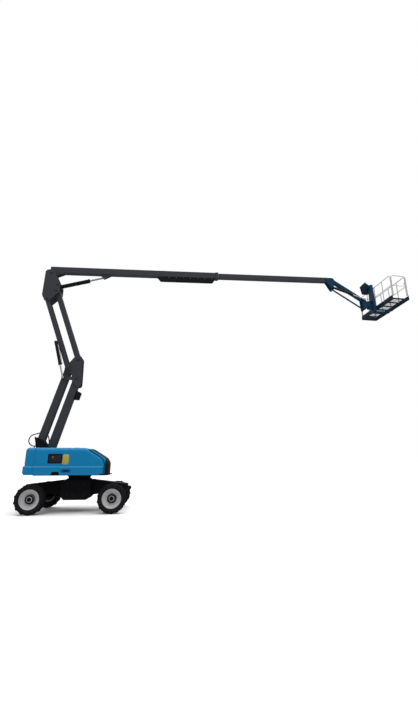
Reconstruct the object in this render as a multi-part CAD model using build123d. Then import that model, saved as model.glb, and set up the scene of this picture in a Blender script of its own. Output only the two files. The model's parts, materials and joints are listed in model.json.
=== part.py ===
from build123d import *
import math
import os

# Articulating boom lift. Millimetres and degrees.
# Frame: X along the boom, Z up, the origin on the ground under the slew axis.
# The machine is drawn with its tower raised and its boom run out.

# Clearances
RUN_GAP = 0.3
PIVOT_GAP = 5
PIN_CLEARANCE = 0.5

# Wheels
WHEEL_BASE = 2550
TRACK = 2050
TYRE_RADIUS = 470
TYRE_WIDTH = 355
TYRE_SIDES = 28
TYRE_SHOULDER = 40
TYRE_BEAD = 34
TYRE_BEAD_RISE = 25
LUG_HEIGHT = 24
LUG_LENGTH = 120
LUG_THICK = 56
LUG_DROP = 75
LUG_CHAMFER = 35
LUG_ROOT = 12
LUG_SLANT = 12
RIM_RADIUS = 318
RIM_WALL = 12
RIM_DISH = 120
RIM_STEP = 40
HUB_RADIUS = 150
HUB_PLATE = 40
HUB_RISE = 60
HUB_CAP_RADIUS = 95
HUB_CAP_RISE = 40
HUB_CAP_CHAMFER = 12

# Axles and steering
KINGPIN_Y = 800
KNUCKLE_RADIUS = 75
KNUCKLE_HEIGHT = 230
SPINDLE_RADIUS = 70
AXLE_SIDE = 170
SADDLE_HALF_WIDTH = 280
DRIVE_RADIUS = 130
DRIVE_LENGTH = 220
DRIVE_OVERLAP = 60
STEER_ARM = 190
STEER_ARM_WIDTH = 70
STEER_ARM_THICK = 40
STEER_ARM_RISE = 20
STEER_EYE = 42
TIE_ROD_RADIUS = 24
TIE_EYE = 40
TIE_EYE_HEIGHT = 56
YOKE_PLATE = 36
YOKE_HALF = 60
YOKE_BACK = 40

# Chassis
CHASSIS_HALF_LENGTH = 1700
CHASSIS_CENTRE_HALF = 480
CHASSIS_CENTRE_WIDTH = 1160
CHASSIS_ARM_WIDTH = 640
CHASSIS_BOTTOM = 390
CHASSIS_ARM_BOTTOM = 540
CHASSIS_TOP = 1030
CHASSIS_END_TOP = 890
CHASSIS_END_BOTTOM = 640
CHASSIS_CHAMFER = 120
CHASSIS_WALL = 14
CHASSIS_ROUND = 30
LASHING_BORE = 32
LASHING_PLATE = 30
LASHING_Y = 230
LASHING_RISE = 90
LASHING_REACH = 50
LASHING_RADIUS = 70

# Slew ring and turntable
SLEW_RADIUS = 400
SLEW_FLANGE = 430
SLEW_NECK = 375
SLEW_BORE = 290
SLEW_FLANGE_THICK = 28
SLEW_GEAR = 60
TURNTABLE_BOTTOM = 1190
TURNTABLE_PLATE = 40
DECK_REAR = -1290
DECK_HALF_WIDTH = 1040
DECK_LIP = 40
DECK_ROUND = 80
CHANNEL_HALF = 440
CHANNEL_WALL = 12
CHANNEL_DROP = 60
CHANNEL_NOSE = 300
UPRIGHT_PLATE = 30
UPRIGHT_GAP = 140
UPRIGHT_HORN = (175, 270)
UPRIGHT_WAIST = (60, 190)
UPRIGHT_HEEL = 20
UPRIGHT_TOE = 560
UPRIGHT_KNEE = 170
UPRIGHT_CREST = 140

# Hoods, their nose mouldings and counterweight
HOOD_OUT = 1120
HOOD_WALL = 8
HOOD_TOP = 2085
HOOD_BOTTOM = 1245
HOOD_REAR = -1280
HOOD_FRONT_NEAR = 980
HOOD_FRONT_FAR = 720
HOOD_SLOPE_RUN = 633
HOOD_NOSE_DROP = 385
HOOD_BROW_RADIUS = 300
HOOD_NOSE_RADIUS = 330
HOOD_SHOULDER = 110
HOOD_OPEN_GAP = 6
SKIRT_OUT = 35
CREASE_Z = 1490
HOOD_HINGE_X = (-900, -100)
HOOD_HINGE_PIN = 9
HOOD_HINGE_TUBE = 15
HOOD_HINGE_RISE = 14
HOOD_HINGE_LENGTH = 140
HOOD_HINGE_BRACKET = 40
HOOD_HINGE_LEAF = 60
HOOD_HINGE_SIDE_GAP = 3
WINDOW_X = (-854, -424)
WINDOW_Z = (1588, 1873)
WINDOW_CORNER = 25
LATCH_X = -255
LATCH_Z = 1340
LATCH_LENGTH = 310
LATCH_HEIGHT = 100
NOSE_DEPTH = 120
NOSE_TOP_CUT = 35
COUNTERWEIGHT_REAR = -1600
COUNTERWEIGHT_FLARE = 45
COUNTERWEIGHT_LOW = 20
COUNTERWEIGHT_TUCK = 40
COUNTERWEIGHT_RISE = 90
COUNTERWEIGHT_BACK = 30
BATTERY_LENGTH = 1150
BATTERY_HEIGHT = 420
BATTERY_DEPTH = 430
BATTERY_FRONT = 300
BATTERY_OUT = 90
PANEL_DEPTH = 80
PANEL_MARGIN = 14
PANEL_SETBACK = 25
PANEL_LEG = 200
PANEL_LEG_DEPTH = 30

# Tower: pivots in the plane of the boom, measured from the origin
LOWER_ARM_PIVOT = (-1130, 1870)
LOWER_LINK_PIVOT = (-1480, 2230)
LOWER_LENGTH = 2880
LOWER_ANGLE = 75.7
LOWER_HEIGHT = 270
LOWER_LINK_HEIGHT = 250
LOWER_WIDTH = 260
LOWER_WALL = 8
TUBE_CORNER = 20
UPPER_ARM_OFFSET = (-20, 740)
UPPER_LENGTH = 3000
UPPER_ANGLE = 110.9
UPPER_HEIGHT = 200
UPPER_WIDTH = 240
UPPER_EYE_RADIUS = 105
UPPER_BOSS_RADIUS = 80
UPPER_LINK_HEIGHT = 150
UPPER_LINK_WIDTH = 55
UPPER_LINK_INNER = 180
UPPER_WALL = 7
LINK_CORNER = 12
EYE_RADIUS = 128
LINK_EYE_RADIUS = 92
PIN_RADIUS = 45
PIN_HEAD = 8
MID_PLATE = 30
MID_EYE = 170
MID_LINK_EYE = 125
MID_LOBE = (60, -200)
MID_LOBE_RADIUS = 110
MID_NOTCH = (69, -251)
MID_NOTCH_RADIUS = 95
TOP_PLATE = 30
TOP_PLATE_INNER = 245
TOP_LINK_EYE = 105
TOP_ARM_EYE = 120
TOP_LIFT_EYE = 110
TOP_BOOM_EYE = 140
TOP_HEEL = (-85, 170)
TOP_CREST = (-90, -10)
VALVE_ALONG = 2110
VALVE_LENGTH = 350
VALVE_DEPTH = 184
VALVE_TAPER = 40
VALVE_HALF_WIDTH = 100

# Main boom, measured along it from its pivot
BOOM_PIVOT_OFFSET = (-270, 767)
BOOM_ANGLE = 2.2
BOOM_LENGTH = 6940
BOOM_TAIL = 90
BOOM_RISE = 225
BOOM_HEIGHT = 270
BOOM_WIDTH = 220
BOOM_WALL = 6
BOOM_END_PLATE = 12
BOOM_CORNER = 18
BOOM_BOSS = 85
COLLAR_LENGTH = 120
COLLAR_RISE = 14
REAR_LUG_RADIUS = 105
REAR_LUG_REACH = 430
REAR_LUG_PLATE = 40
INNER_HEIGHT = 225
INNER_WIDTH = 175
INNER_WALL = 5
INNER_CORNER = 14
INNER_OVERLAP = 1100
INNER_LENGTH = 5970
NOSE_REACH = 180
NOSE_RADIUS = 105
NOSE_PLATE = 24
NOSE_OVERLAP = 150
WEAR_PAD_LENGTH = 140
WEAR_PAD_BACK = 20
TRAY_LENGTH = 2490
TRAY_END_GAP = 10
TRAY_HEIGHT = 165
TRAY_SLOPE = 130
TRAY_WIDTH = 180
TRAY_WALL = 5

# Cylinders
CYLINDER_EYE = 55
GLAND_LENGTH = 60
GLAND_RISE = 6
BARREL_EYE_RISE = 4
ROD_EYE_RISE = 20
LIFT_BASE_OFFSET = (10, 267)
LIFT_LUG_ALONG = 2030
LIFT_LUG_DROP = -18
LIFT_LUG_RADIUS = 55
LIFT_LUG_PLATE = 26
LIFT_LUG_GAP = 14
LIFT_LUG_BACK = 140
LIFT_LUG_AHEAD = 290
LIFT_BARREL_RADIUS = 72
LIFT_ROD_RADIUS = 38
LIFT_BARREL_LENGTH = 1240
LIFT_ROD_START = 276
RISER_ALONG = 1103
RISER_RISE = 114
RISER_BASE = (-120, -360)
RISER_Y = 330
RISER_BARREL_RADIUS = 58
RISER_ROD_RADIUS = 30
RISER_BARREL_LENGTH = 900
RISER_ROD_START = 470
RISER_PIN_RADIUS = 30
RISER_FOOT_RADIUS = 48
RISER_PLATE_RADIUS = 60
RISER_EAR_RADIUS = 62
RISER_EAR_FOOT = 70
JIB_BARREL_RADIUS = 46
JIB_ROD_RADIUS = 24
JIB_BARREL_LENGTH = 940
JIB_ROD_START = 240
JIB_CYLINDER_Y = 175

# Jib
JIB_PIVOT_OFFSET = (228, 10)
JIB_LINK_DROP = 440
JIB_LENGTH = 1700
JIB_ANGLE = -32
JIB_HEIGHT = 150
JIB_WIDTH = 150
JIB_WALL = 5
JIB_CORNER = 14
JIB_LINK_HEIGHT = 60
JIB_LINK_WIDTH = 50
JIB_LINK_CORNER = 10
JIB_PIN_RADIUS = 30
JIB_EYE_RADIUS = 78
JIB_LINK_EYE = 48
JIB_PLATE = 20
JIB_PLATE_INNER = 95
JIB_BASE_EYE = 85
JIB_BASE_LINK_EYE = 62
JIB_END_EYE = 80
JIB_END_LINK_EYE = 60
JIB_END_NECK = 130
JIB_END_NECK_RADIUS = 70

# Platform
ROTATOR_OFFSET = 290
ROTATOR_RADIUS = 85
ROTATOR_CASE = 105
ROTATOR_HEIGHT = 300
ROTATOR_WEB = 100
ROTATOR_WEB_HALF = 95
ROTATOR_ARM = 30
PLATFORM_SETBACK = 360
PLATFORM_DEPTH = 760
PLATFORM_WIDTH = 2440
PLATFORM_RAIL_HEIGHT = 1100
RAIL_RADIUS = 19
RAIL_CORNER = 100
MID_RAIL_RADIUS = 15
MID_RAIL_HEIGHT = 605
LONG_RAIL_POSTS = 5
DECK_TUBE = 50
DECK_SHEET = 8
FLOOR_BAYS = 6
FLOOR_MEMBER = 36
FLOOR_SLOTS = 5
FLOOR_RIB = 15
FLOOR_SLOT_END = 10
TOE_BOARD = 150
TOE_SHEET = 6
POST_DEPTH = 110
POST_WIDTH = 360
POST_TOP_WIDTH = 200
POST_HEIGHT = 1180
POST_WALL = 6
POST_GAP = 60
POST_DROP = 60
BEARER = 60
BEARER_Y = 120
BEARER_END = 60
GATE_GAP = 8
GATE_COLLAR = 27
GATE_COLLAR_HEIGHT = 30
GATE_BRIDGE = 20
GATE_COLLAR_LEVELS = (260, 820)
CONSOLE_Y = (135, 500)
CONSOLE_BACK = 380
CONSOLE_LIP = 60
CONSOLE_DROP = 150
CONSOLE_RISE = 300
CONSOLE_LIP_HEIGHT = 45
CONSOLE_LEAN = 70
CONSOLE_RAIL_GAP = 20
CONSOLE_ROUND = 20

# Hose loop at the tower's foot: points in the plane y = HOSE_Y
HOSE_RADIUS = 19
HOSE_Y = 335
HOSE_ROUTE = [
    (-1520, 2184),
    (-1625, 2184),
    (-1727, 2185),
    (-1827, 2188),
    (-1918, 2234),
    (-1977, 2317),
    (-1993, 2417),
    (-1962, 2514),
    (-1890, 2586),
    (-1747, 2632),
    (-1554, 2684),
    (-1441, 2664),
    (-1352, 2599),
    (-1298, 2498),
    (-1267, 2321),
    (-1235, 2043),
    (-1212, 1664),
    (-1212, 1284),
]
HOSE_ARC_SHARE = 0.45
GLAND_RADIUS = 34
HOSE_GLAND_LENGTH = 60
GLAND_FOOT = 25
GLAND_SEAT = 15


def block(x0, x1, y0, y1, z0, z1):
    """A plain box between two corners."""
    centre = Pos((x0 + x1) / 2, (y0 + y1) / 2, (z0 + z1) / 2)
    return centre * Box(abs(x1 - x0), abs(y1 - y0), abs(z1 - z0))


def side_plane(y):
    """The plane of a side view at y, with X to the right and Z up."""
    return Plane(origin=(0, y, 0), x_dir=(1, 0, 0), z_dir=(0, -1, 0))


def end_plane(x):
    """The plane of an end view at x, with Y to the right and Z up."""
    return Plane(origin=(x, 0, 0), x_dir=(0, 1, 0), z_dir=(1, 0, 0))


def outline_face(points):
    """A flat face inside straight lines between points."""
    return make_face(Polyline(*points, close=True))


def side_slab(face, y0, y1):
    """A side-view face, thick from y0 to y1."""
    return extrude(side_plane(max(y0, y1)) * face, amount=abs(y1 - y0))


def side_prism(points, y0, y1):
    """A side-view outline of (x, z) points, thick from y0 to y1."""
    return side_slab(outline_face(points), y0, y1)


def end_prism(points, x0, x1):
    """An end-view outline of (y, z) points, long from x0 to x1."""
    return extrude(end_plane(x0) * outline_face(points), amount=x1 - x0)


def inset_face(points, wall):
    """An outline's face drawn in by a wall's thickness."""
    return offset(outline_face(points), amount=-wall, kind=Kind.INTERSECTION)


def box_bar(x0, x1, width, height, corner):
    """A bar along X with rounded long edges."""
    return extrude(end_plane(x0) * RectangleRounded(width, height, corner), amount=x1 - x0)


def round_bar(x0, x1, radius):
    """A round bar along X."""
    return Pos((x0 + x1) / 2, 0, 0) * Rot(0, 90, 0) * Cylinder(radius, x1 - x0)


def pin(point, radius, y0, y1):
    """A round bar across the machine at a side-view point."""
    return side_slab(Pos(point[0], point[1]) * Circle(radius), y0, y1)


def hull_plate(discs, y0, y1):
    """A plate with its outline drawn tight round discs given as (point, radius)."""
    sketch = Sketch() + [Pos(p[0], p[1]) * Circle(r) for p, r in discs]
    return side_slab(make_face(make_hull(sketch.edges())), y0, y1)


def both_sides(inner, thickness, maker):
    """The same plate on the right and on the left of the middle plane."""
    return maker(inner, inner + thickness) + maker(-inner - thickness, -inner)


def place(point, angle):
    """Move a piece drawn along X to a side-view point, raised by angle."""
    return Pos(point[0], 0, point[1]) * Rot(0, -angle, 0)


def ahead(point, angle, along, rise=0):
    """The point that lies along and rise away from point, in a frame raised by angle."""
    c = math.cos(math.radians(angle))
    s = math.sin(math.radians(angle))
    return (point[0] + along * c - rise * s, point[1] + along * s + rise * c)


def shifted(point, offset_by):
    """A point moved by an offset."""
    return (point[0] + offset_by[0], point[1] + offset_by[1])


def span(a, b):
    """Length and angle of the line from a to b."""
    return math.dist(a, b), math.degrees(math.atan2(b[1] - a[1], b[0] - a[0]))


# Pivots of the linkage
LOWER_ARM_TOP = ahead(LOWER_ARM_PIVOT, LOWER_ANGLE, LOWER_LENGTH)
LOWER_LINK_TOP = ahead(LOWER_LINK_PIVOT, LOWER_ANGLE, LOWER_LENGTH)
UPPER_LINK_PIVOT = LOWER_LINK_TOP
UPPER_ARM_PIVOT = shifted(LOWER_ARM_TOP, UPPER_ARM_OFFSET)
UPPER_LINK_TOP = ahead(UPPER_LINK_PIVOT, UPPER_ANGLE, UPPER_LENGTH)
UPPER_ARM_TOP = ahead(UPPER_ARM_PIVOT, UPPER_ANGLE, UPPER_LENGTH)
BOOM_PIVOT = shifted(UPPER_ARM_TOP, BOOM_PIVOT_OFFSET)
LIFT_BASE = shifted(UPPER_ARM_TOP, LIFT_BASE_OFFSET)
LIFT_LUG = ahead(BOOM_PIVOT, BOOM_ANGLE, LIFT_LUG_ALONG, LIFT_LUG_DROP)
RISER_HEAD = ahead(UPPER_LINK_PIVOT, UPPER_ANGLE, RISER_ALONG, RISER_RISE)
RISER_FOOT = shifted(UPPER_LINK_PIVOT, RISER_BASE)
BOOM_FRONT = BOOM_LENGTH - BOOM_TAIL
BOOM_LOW = BOOM_RISE - BOOM_HEIGHT / 2
INNER_REAR = BOOM_FRONT - INNER_OVERLAP
INNER_FRONT = INNER_REAR + INNER_LENGTH
NOSE_PIVOT = INNER_FRONT + NOSE_REACH
NOSE = ahead(BOOM_PIVOT, BOOM_ANGLE, NOSE_PIVOT, BOOM_RISE)
JIB_PIVOT = shifted(NOSE, JIB_PIVOT_OFFSET)
JIB_LINK_PIVOT = shifted(JIB_PIVOT, (0, -JIB_LINK_DROP))
JIB_TIP = ahead(JIB_PIVOT, JIB_ANGLE, JIB_LENGTH)
JIB_LINK_TIP = ahead(JIB_LINK_PIVOT, JIB_ANGLE, JIB_LENGTH)
ROTATOR_X = JIB_TIP[0] + ROTATOR_OFFSET
ROTATOR_MID = (JIB_TIP[1] + JIB_LINK_TIP[1]) / 2
FLOOR_TOP = JIB_LINK_TIP[1] + POST_DROP
RAIL_TOP = FLOOR_TOP + PLATFORM_RAIL_HEIGHT
PLATFORM_REAR = ROTATOR_X + PLATFORM_SETBACK
PLATFORM_FRONT = PLATFORM_REAR + PLATFORM_DEPTH
AXLE_X = WHEEL_BASE / 2
WHEEL_Y = TRACK / 2
DECK_TOP = TURNTABLE_BOTTOM + TURNTABLE_PLATE
HOOD_INNER = CHANNEL_HALF + HOOD_OPEN_GAP
HOOD_SIDE = HOOD_OUT - SKIRT_OUT
HOOD_HINGE_Y = CHANNEL_HALF - CHANNEL_WALL / 2
HOOD_HINGE_Z = HOOD_TOP + HOOD_HINGE_RISE
CHANNEL_TOP = HOOD_TOP - CHANNEL_DROP
GATE_X = PLATFORM_REAR + 3 * RAIL_RADIUS + GATE_GAP
GATE_Y = -PLATFORM_WIDTH / 2 + 2 * RAIL_RADIUS


def tyre_solid():
    """A tyre about the Y axis: flat sectors, each with a slanted lug on one shoulder in turn."""
    half = TYRE_WIDTH / 2
    tread = TYRE_RADIUS - LUG_HEIGHT
    flank = TYRE_RADIUS - LUG_DROP
    bead = RIM_RADIUS - RIM_WALL + RUN_GAP
    lip = RIM_RADIUS + TYRE_BEAD_RISE
    shoulder = half - TYRE_SHOULDER
    seat = half - TYRE_BEAD
    right = [(bead, seat), (lip, half), (flank, half), (tread, shoulder)]
    left = [(r, -z) for r, z in reversed(right)]
    spread = TYRE_RADIUS * math.tan(math.pi / TYRE_SIDES)
    wedge_plan = outline_face([(0, 0), (TYRE_RADIUS, -spread), (TYRE_RADIUS, spread)])
    sector = extrude(Plane.XZ * outline_face(right + left), amount=spread, both=True)
    sector &= extrude(wedge_plan, amount=half, both=True)
    start = half - LUG_LENGTH
    outline = [
        (tread - LUG_ROOT, start),
        (TYRE_RADIUS, start + LUG_ROOT),
        (TYRE_RADIUS, half - LUG_CHAMFER),
        (TYRE_RADIUS - LUG_CHAMFER, half),
        (flank - LUG_ROOT, half),
        (flank - LUG_ROOT, shoulder),
    ]
    lug = extrude(Plane.XZ * outline_face(outline), amount=LUG_THICK / 2, both=True)
    middle = half - LUG_LENGTH / 2
    lug = Pos(0, 0, middle) * Rot(LUG_SLANT, 0, 0) * Pos(0, 0, -middle) * lug
    lugged = sector + (lug & Cylinder(2 * TYRE_RADIUS, TYRE_WIDTH))
    opposite = mirror(lugged, Plane.XY)
    pitch = 360 / TYRE_SIDES
    sectors = [Rot(0, 0, i * pitch) * (opposite if i % 2 else lugged) for i in range(TYRE_SIDES)]
    return Rot(90, 0, 0) * (sectors[0] + sectors[1:])


def rim_solid():
    """A dished rim with its hub about the Y axis, its open face towards +Y."""
    half = TYRE_WIDTH / 2 - TYRE_BEAD
    bead = RIM_RADIUS - RIM_WALL
    disc = half - RIM_DISH
    foot = HUB_RADIUS + RIM_STEP
    outline = [
        (bead, -half),
        (bead, half),
        (bead - RIM_WALL, half),
        (bead - 2 * RIM_WALL, disc + RIM_STEP),
        (foot, disc),
        (HUB_RADIUS, disc),
        (HUB_RADIUS, disc + HUB_RISE),
        (HUB_CAP_RADIUS, disc + HUB_RISE),
        (HUB_CAP_RADIUS - HUB_CAP_CHAMFER, disc + HUB_RISE + HUB_CAP_RISE),
        (0, disc + HUB_RISE + HUB_CAP_RISE),
        (0, disc - HUB_PLATE),
        (foot, disc - HUB_PLATE),
        (bead - 4 * RIM_WALL, disc),
        (bead - RIM_WALL, -half),
    ]
    return revolve(outline_face(outline), Axis.Y)


def wheel_place(end, side):
    """Where a wheel goes: end is -1 at the counterweight, side is -1 at the near side."""
    turn = Rot(0, 0, 0) if side > 0 else Rot(0, 0, 180)
    return Pos(end * AXLE_X, side * WHEEL_Y, TYRE_RADIUS) * turn


def hub_reach():
    """How far out from the middle plane the backs of the hubs lie."""
    return WHEEL_Y + TYRE_WIDTH / 2 - TYRE_BEAD - RIM_DISH - HUB_PLATE - RUN_GAP


def chassis_frame():
    """The welded frame: a deep middle box, a tapered arm to each axle and lashing lugs."""
    half_width = CHASSIS_CENTRE_WIDTH / 2
    arm_half = CHASSIS_ARM_WIDTH / 2
    c = CHASSIS_CENTRE_HALF
    e = CHASSIS_HALF_LENGTH
    middle = [
        (-c, CHASSIS_BOTTOM + CHASSIS_CHAMFER),
        (-c + CHASSIS_CHAMFER, CHASSIS_BOTTOM),
        (c - CHASSIS_CHAMFER, CHASSIS_BOTTOM),
        (c, CHASSIS_BOTTOM + CHASSIS_CHAMFER),
        (c, CHASSIS_TOP),
        (-c, CHASSIS_TOP),
    ]
    arms = [
        (-e, CHASSIS_END_BOTTOM),
        (-c, CHASSIS_ARM_BOTTOM),
        (c, CHASSIS_ARM_BOTTOM),
        (e, CHASSIS_END_BOTTOM),
        (e, CHASSIS_END_TOP),
        (c, CHASSIS_TOP),
        (-c, CHASSIS_TOP),
        (-e, CHASSIS_END_TOP),
    ]
    w = CHASSIS_WALL
    beam = side_prism(arms, -arm_half, arm_half)
    corners = [edge for edge in beam.edges().filter_by(Axis.Z) if abs(edge.center().X) > c]
    body = side_prism(middle, -half_width, half_width) + fillet(corners, CHASSIS_ROUND)
    body -= side_slab(inset_face(middle, w), -half_width + w, half_width - w)
    body -= side_slab(inset_face(arms, w), -arm_half + w, arm_half - w)
    z = CHASSIS_END_BOTTOM + LASHING_RISE
    for end in (-1, 1):
        eye = (end * (e + LASHING_REACH), z)
        root = (end * (e - LASHING_REACH), z)
        for side in (-1, 1):
            y0 = side * LASHING_Y - LASHING_PLATE / 2
            y1 = side * LASHING_Y + LASHING_PLATE / 2
            body += hull_plate([(eye, LASHING_RADIUS), (root, LASHING_RADIUS)], y0, y1)
            body -= pin(eye, LASHING_BORE, y0 - 1, y1 + 1)
    return body


def arm_underside(x):
    """Height of the frame arm's lower face at a distance from the middle."""
    share = (x - CHASSIS_CENTRE_HALF) / (CHASSIS_HALF_LENGTH - CHASSIS_CENTRE_HALF)
    return CHASSIS_ARM_BOTTOM + share * (CHASSIS_END_BOTTOM - CHASSIS_ARM_BOTTOM)


def axle_saddle():
    """The saddle between an axle and the sloping underside of its arm."""
    half = AXLE_SIDE / 2
    outline = [
        (AXLE_X - half, TYRE_RADIUS),
        (AXLE_X + half, TYRE_RADIUS),
        (AXLE_X + half, arm_underside(AXLE_X + half)),
        (AXLE_X - half, arm_underside(AXLE_X - half)),
    ]
    return side_prism(outline, -SADDLE_HALF_WIDTH, SADDLE_HALF_WIDTH)


def fixed_axle():
    """The drive axle at the boom end, with a drive hub at each wheel."""
    half = AXLE_SIDE / 2
    reach = hub_reach()
    inner = reach - DRIVE_LENGTH
    end = inner + DRIVE_OVERLAP
    beam = block(AXLE_X - half, AXLE_X + half, -end, end, TYRE_RADIUS - half, TYRE_RADIUS + half)
    drives = both_sides(inner, DRIVE_LENGTH, lambda a, b: pin((AXLE_X, TYRE_RADIUS), DRIVE_RADIUS, a, b))
    return beam + axle_saddle() + drives


def steer_axle():
    """The steered axle at the counterweight end: a beam with a yoke for each kingpin."""
    half = AXLE_SIDE / 2
    yoke_in = KINGPIN_Y - KNUCKLE_RADIUS - YOKE_BACK
    end = yoke_in - YOKE_BACK
    beam = block(AXLE_X - half, AXLE_X + half, -end, end, TYRE_RADIUS - half, TYRE_RADIUS + half)
    body = beam + axle_saddle()
    low = TYRE_RADIUS - KNUCKLE_HEIGHT / 2 - RUN_GAP
    high = TYRE_RADIUS + KNUCKLE_HEIGHT / 2 + RUN_GAP
    x0 = AXLE_X - YOKE_HALF
    x1 = AXLE_X + YOKE_HALF
    for side in (-1, 1):
        body += block(x0, x1, side * (end - YOKE_BACK), side * yoke_in, low - YOKE_PLATE, high + YOKE_PLATE)
        for z in (low - YOKE_PLATE, high):
            body += block(x0, x1, side * end, side * KINGPIN_Y, z, z + YOKE_PLATE)
            body += Pos(AXLE_X, side * KINGPIN_Y, z + YOKE_PLATE / 2) * Cylinder(YOKE_HALF, YOKE_PLATE)
    return mirror(body, Plane.YZ)


def steer_knuckle(side):
    """A knuckle that turns on its kingpin and carries a wheel's drive."""
    y = side * KINGPIN_Y
    body = Pos(-AXLE_X, y, TYRE_RADIUS) * Cylinder(KNUCKLE_RADIUS, KNUCKLE_HEIGHT)
    body += pin((-AXLE_X, TYRE_RADIUS), SPINDLE_RADIUS, y, side * hub_reach())
    z = TYRE_RADIUS - KNUCKLE_HEIGHT / 2 + STEER_ARM_RISE
    half = STEER_ARM_WIDTH / 2
    eye_x = -AXLE_X + STEER_ARM
    arm = block(-AXLE_X + half, eye_x, y - half, y + half, z, z + STEER_ARM_THICK)
    return body + arm + Pos(eye_x, y, z + STEER_ARM_THICK / 2) * Cylinder(STEER_EYE, STEER_ARM_THICK)


def tie_rod():
    """The rod under the two steering arms."""
    top = TYRE_RADIUS - KNUCKLE_HEIGHT / 2 + STEER_ARM_RISE - RUN_GAP
    middle = Pos(-AXLE_X + STEER_ARM, 0, top - TIE_EYE_HEIGHT / 2)
    body = middle * Rot(90, 0, 0) * Cylinder(TIE_ROD_RADIUS, 2 * KINGPIN_Y - TIE_EYE)
    for side in (-1, 1):
        body += middle * Pos(0, side * KINGPIN_Y, 0) * Cylinder(TIE_EYE, TIE_EYE_HEIGHT)
    return body


def slew_ring():
    """The slewing bearing on the frame: a bolted flange, a neck and the ring."""
    top = TURNTABLE_BOTTOM - RUN_GAP
    outline = [
        (SLEW_BORE, CHASSIS_TOP),
        (SLEW_FLANGE, CHASSIS_TOP),
        (SLEW_FLANGE, CHASSIS_TOP + SLEW_FLANGE_THICK),
        (SLEW_NECK, CHASSIS_TOP + SLEW_FLANGE_THICK),
        (SLEW_NECK, top - SLEW_GEAR),
        (SLEW_RADIUS, top - SLEW_GEAR),
        (SLEW_RADIUS, top),
        (SLEW_BORE, top),
    ]
    return revolve(Plane.XZ * outline_face(outline), Axis.Z)


def hood_front(side):
    """Where a hood ends towards the boom: the far one is shorter."""
    return HOOD_FRONT_NEAR if side < 0 else HOOD_FRONT_FAR


def turntable_deck():
    """The deck plate, cut back in front of the shorter hood."""
    near = hood_front(-1) + NOSE_DEPTH - DECK_LIP
    far = hood_front(1) + NOSE_DEPTH - DECK_LIP
    outline = [
        (DECK_REAR, -DECK_HALF_WIDTH),
        (near, -DECK_HALF_WIDTH),
        (near, CHANNEL_HALF),
        (far, CHANNEL_HALF),
        (far, DECK_HALF_WIDTH),
        (DECK_REAR, DECK_HALF_WIDTH),
    ]
    deck = extrude(Pos(0, 0, TURNTABLE_BOTTOM) * outline_face(outline), amount=TURNTABLE_PLATE)
    corners = []
    for edge in deck.edges().filter_by(Axis.Z):
        if edge.center().X > 0 and abs(edge.center().Y) > CHANNEL_HALF + 1:
            corners.append(edge)
    return fillet(corners, DECK_ROUND)


def channel_wall(side):
    """The wall between a hood and the channel for the folded tower."""
    front = hood_front(side) - CHANNEL_DROP
    outline = [
        (DECK_REAR, DECK_TOP),
        (front, DECK_TOP),
        (front, DECK_TOP + CHANNEL_NOSE),
        (hood_front(side) - HOOD_SLOPE_RUN, CHANNEL_TOP),
        (DECK_REAR, CHANNEL_TOP),
    ]
    return side_prism(outline, side * (CHANNEL_HALF - CHANNEL_WALL), side * CHANNEL_HALF)


def hinge_bar(x, side, radius, length):
    """A round bar along X on a hood's hinge axis."""
    return Pos(x, side * HOOD_HINGE_Y, HOOD_HINGE_Z) * Rot(0, 90, 0) * Cylinder(radius, length)


def turntable_base():
    """The turning deck, the channel walls and the two uprights that carry the tower."""
    link_x, link_z = LOWER_LINK_PIVOT
    arm_x, arm_z = LOWER_ARM_PIVOT
    upright = [
        (link_x - UPRIGHT_HORN[0], link_z + UPRIGHT_HORN[1]),
        (link_x - UPRIGHT_WAIST[0], link_z - UPRIGHT_WAIST[1]),
        (DECK_REAR + UPRIGHT_HEEL, DECK_TOP),
        (arm_x + UPRIGHT_TOE, DECK_TOP),
        (arm_x + UPRIGHT_KNEE, arm_z),
        (link_x + UPRIGHT_CREST, link_z + UPRIGHT_CREST),
    ]
    body = turntable_deck()
    body += both_sides(UPRIGHT_GAP, UPRIGHT_PLATE, lambda a, b: side_prism(upright, a, b))
    outer = UPRIGHT_GAP + UPRIGHT_PLATE
    for pivot in (LOWER_ARM_PIVOT, LOWER_LINK_PIVOT):
        body += pin(pivot, PIN_RADIUS, -outer, outer)
    half = HOOD_HINGE_BRACKET / 2
    top = HOOD_HINGE_Z + HOOD_HINGE_PIN + HOOD_HINGE_SIDE_GAP
    for side in (-1, 1):
        body += channel_wall(side)
        wall_in = side * (CHANNEL_HALF - CHANNEL_WALL)
        for x in HOOD_HINGE_X:
            body += block(x - half, x + half, wall_in, side * CHANNEL_HALF, CHANNEL_TOP - half, top)
            body += hinge_bar(x, side, HOOD_HINGE_PIN, HOOD_HINGE_LENGTH)
    end_x, end_z = HOSE_ROUTE[-1]
    gland = Pos(end_x, HOSE_Y, (DECK_TOP + end_z) / 2) * Cylinder(GLAND_RADIUS, end_z - DECK_TOP)
    return body + gland


def hood_outline(front, inset, low):
    """Side view of a hood down to low: level top, rounded brow, slope and rounded nose."""
    slope = math.atan2(HOOD_NOSE_DROP, HOOD_SLOPE_RUN)
    back = HOOD_REAR + inset
    top = HOOD_TOP - inset
    nose = front - inset
    brow_x = front - HOOD_SLOPE_RUN - inset * math.tan(slope / 2)
    nose_z = HOOD_TOP - HOOD_NOSE_DROP - inset * math.tan((math.pi / 2 - slope) / 2)
    radii = [HOOD_BROW_RADIUS - inset, HOOD_NOSE_RADIUS - inset]
    bent = FilletPolyline((back, top), (brow_x, top), (nose, nose_z), (nose, low), radius=radii)
    return make_face(bent.edges() + Polyline((nose, low), (back, low), (back, top)).edges())


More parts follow.
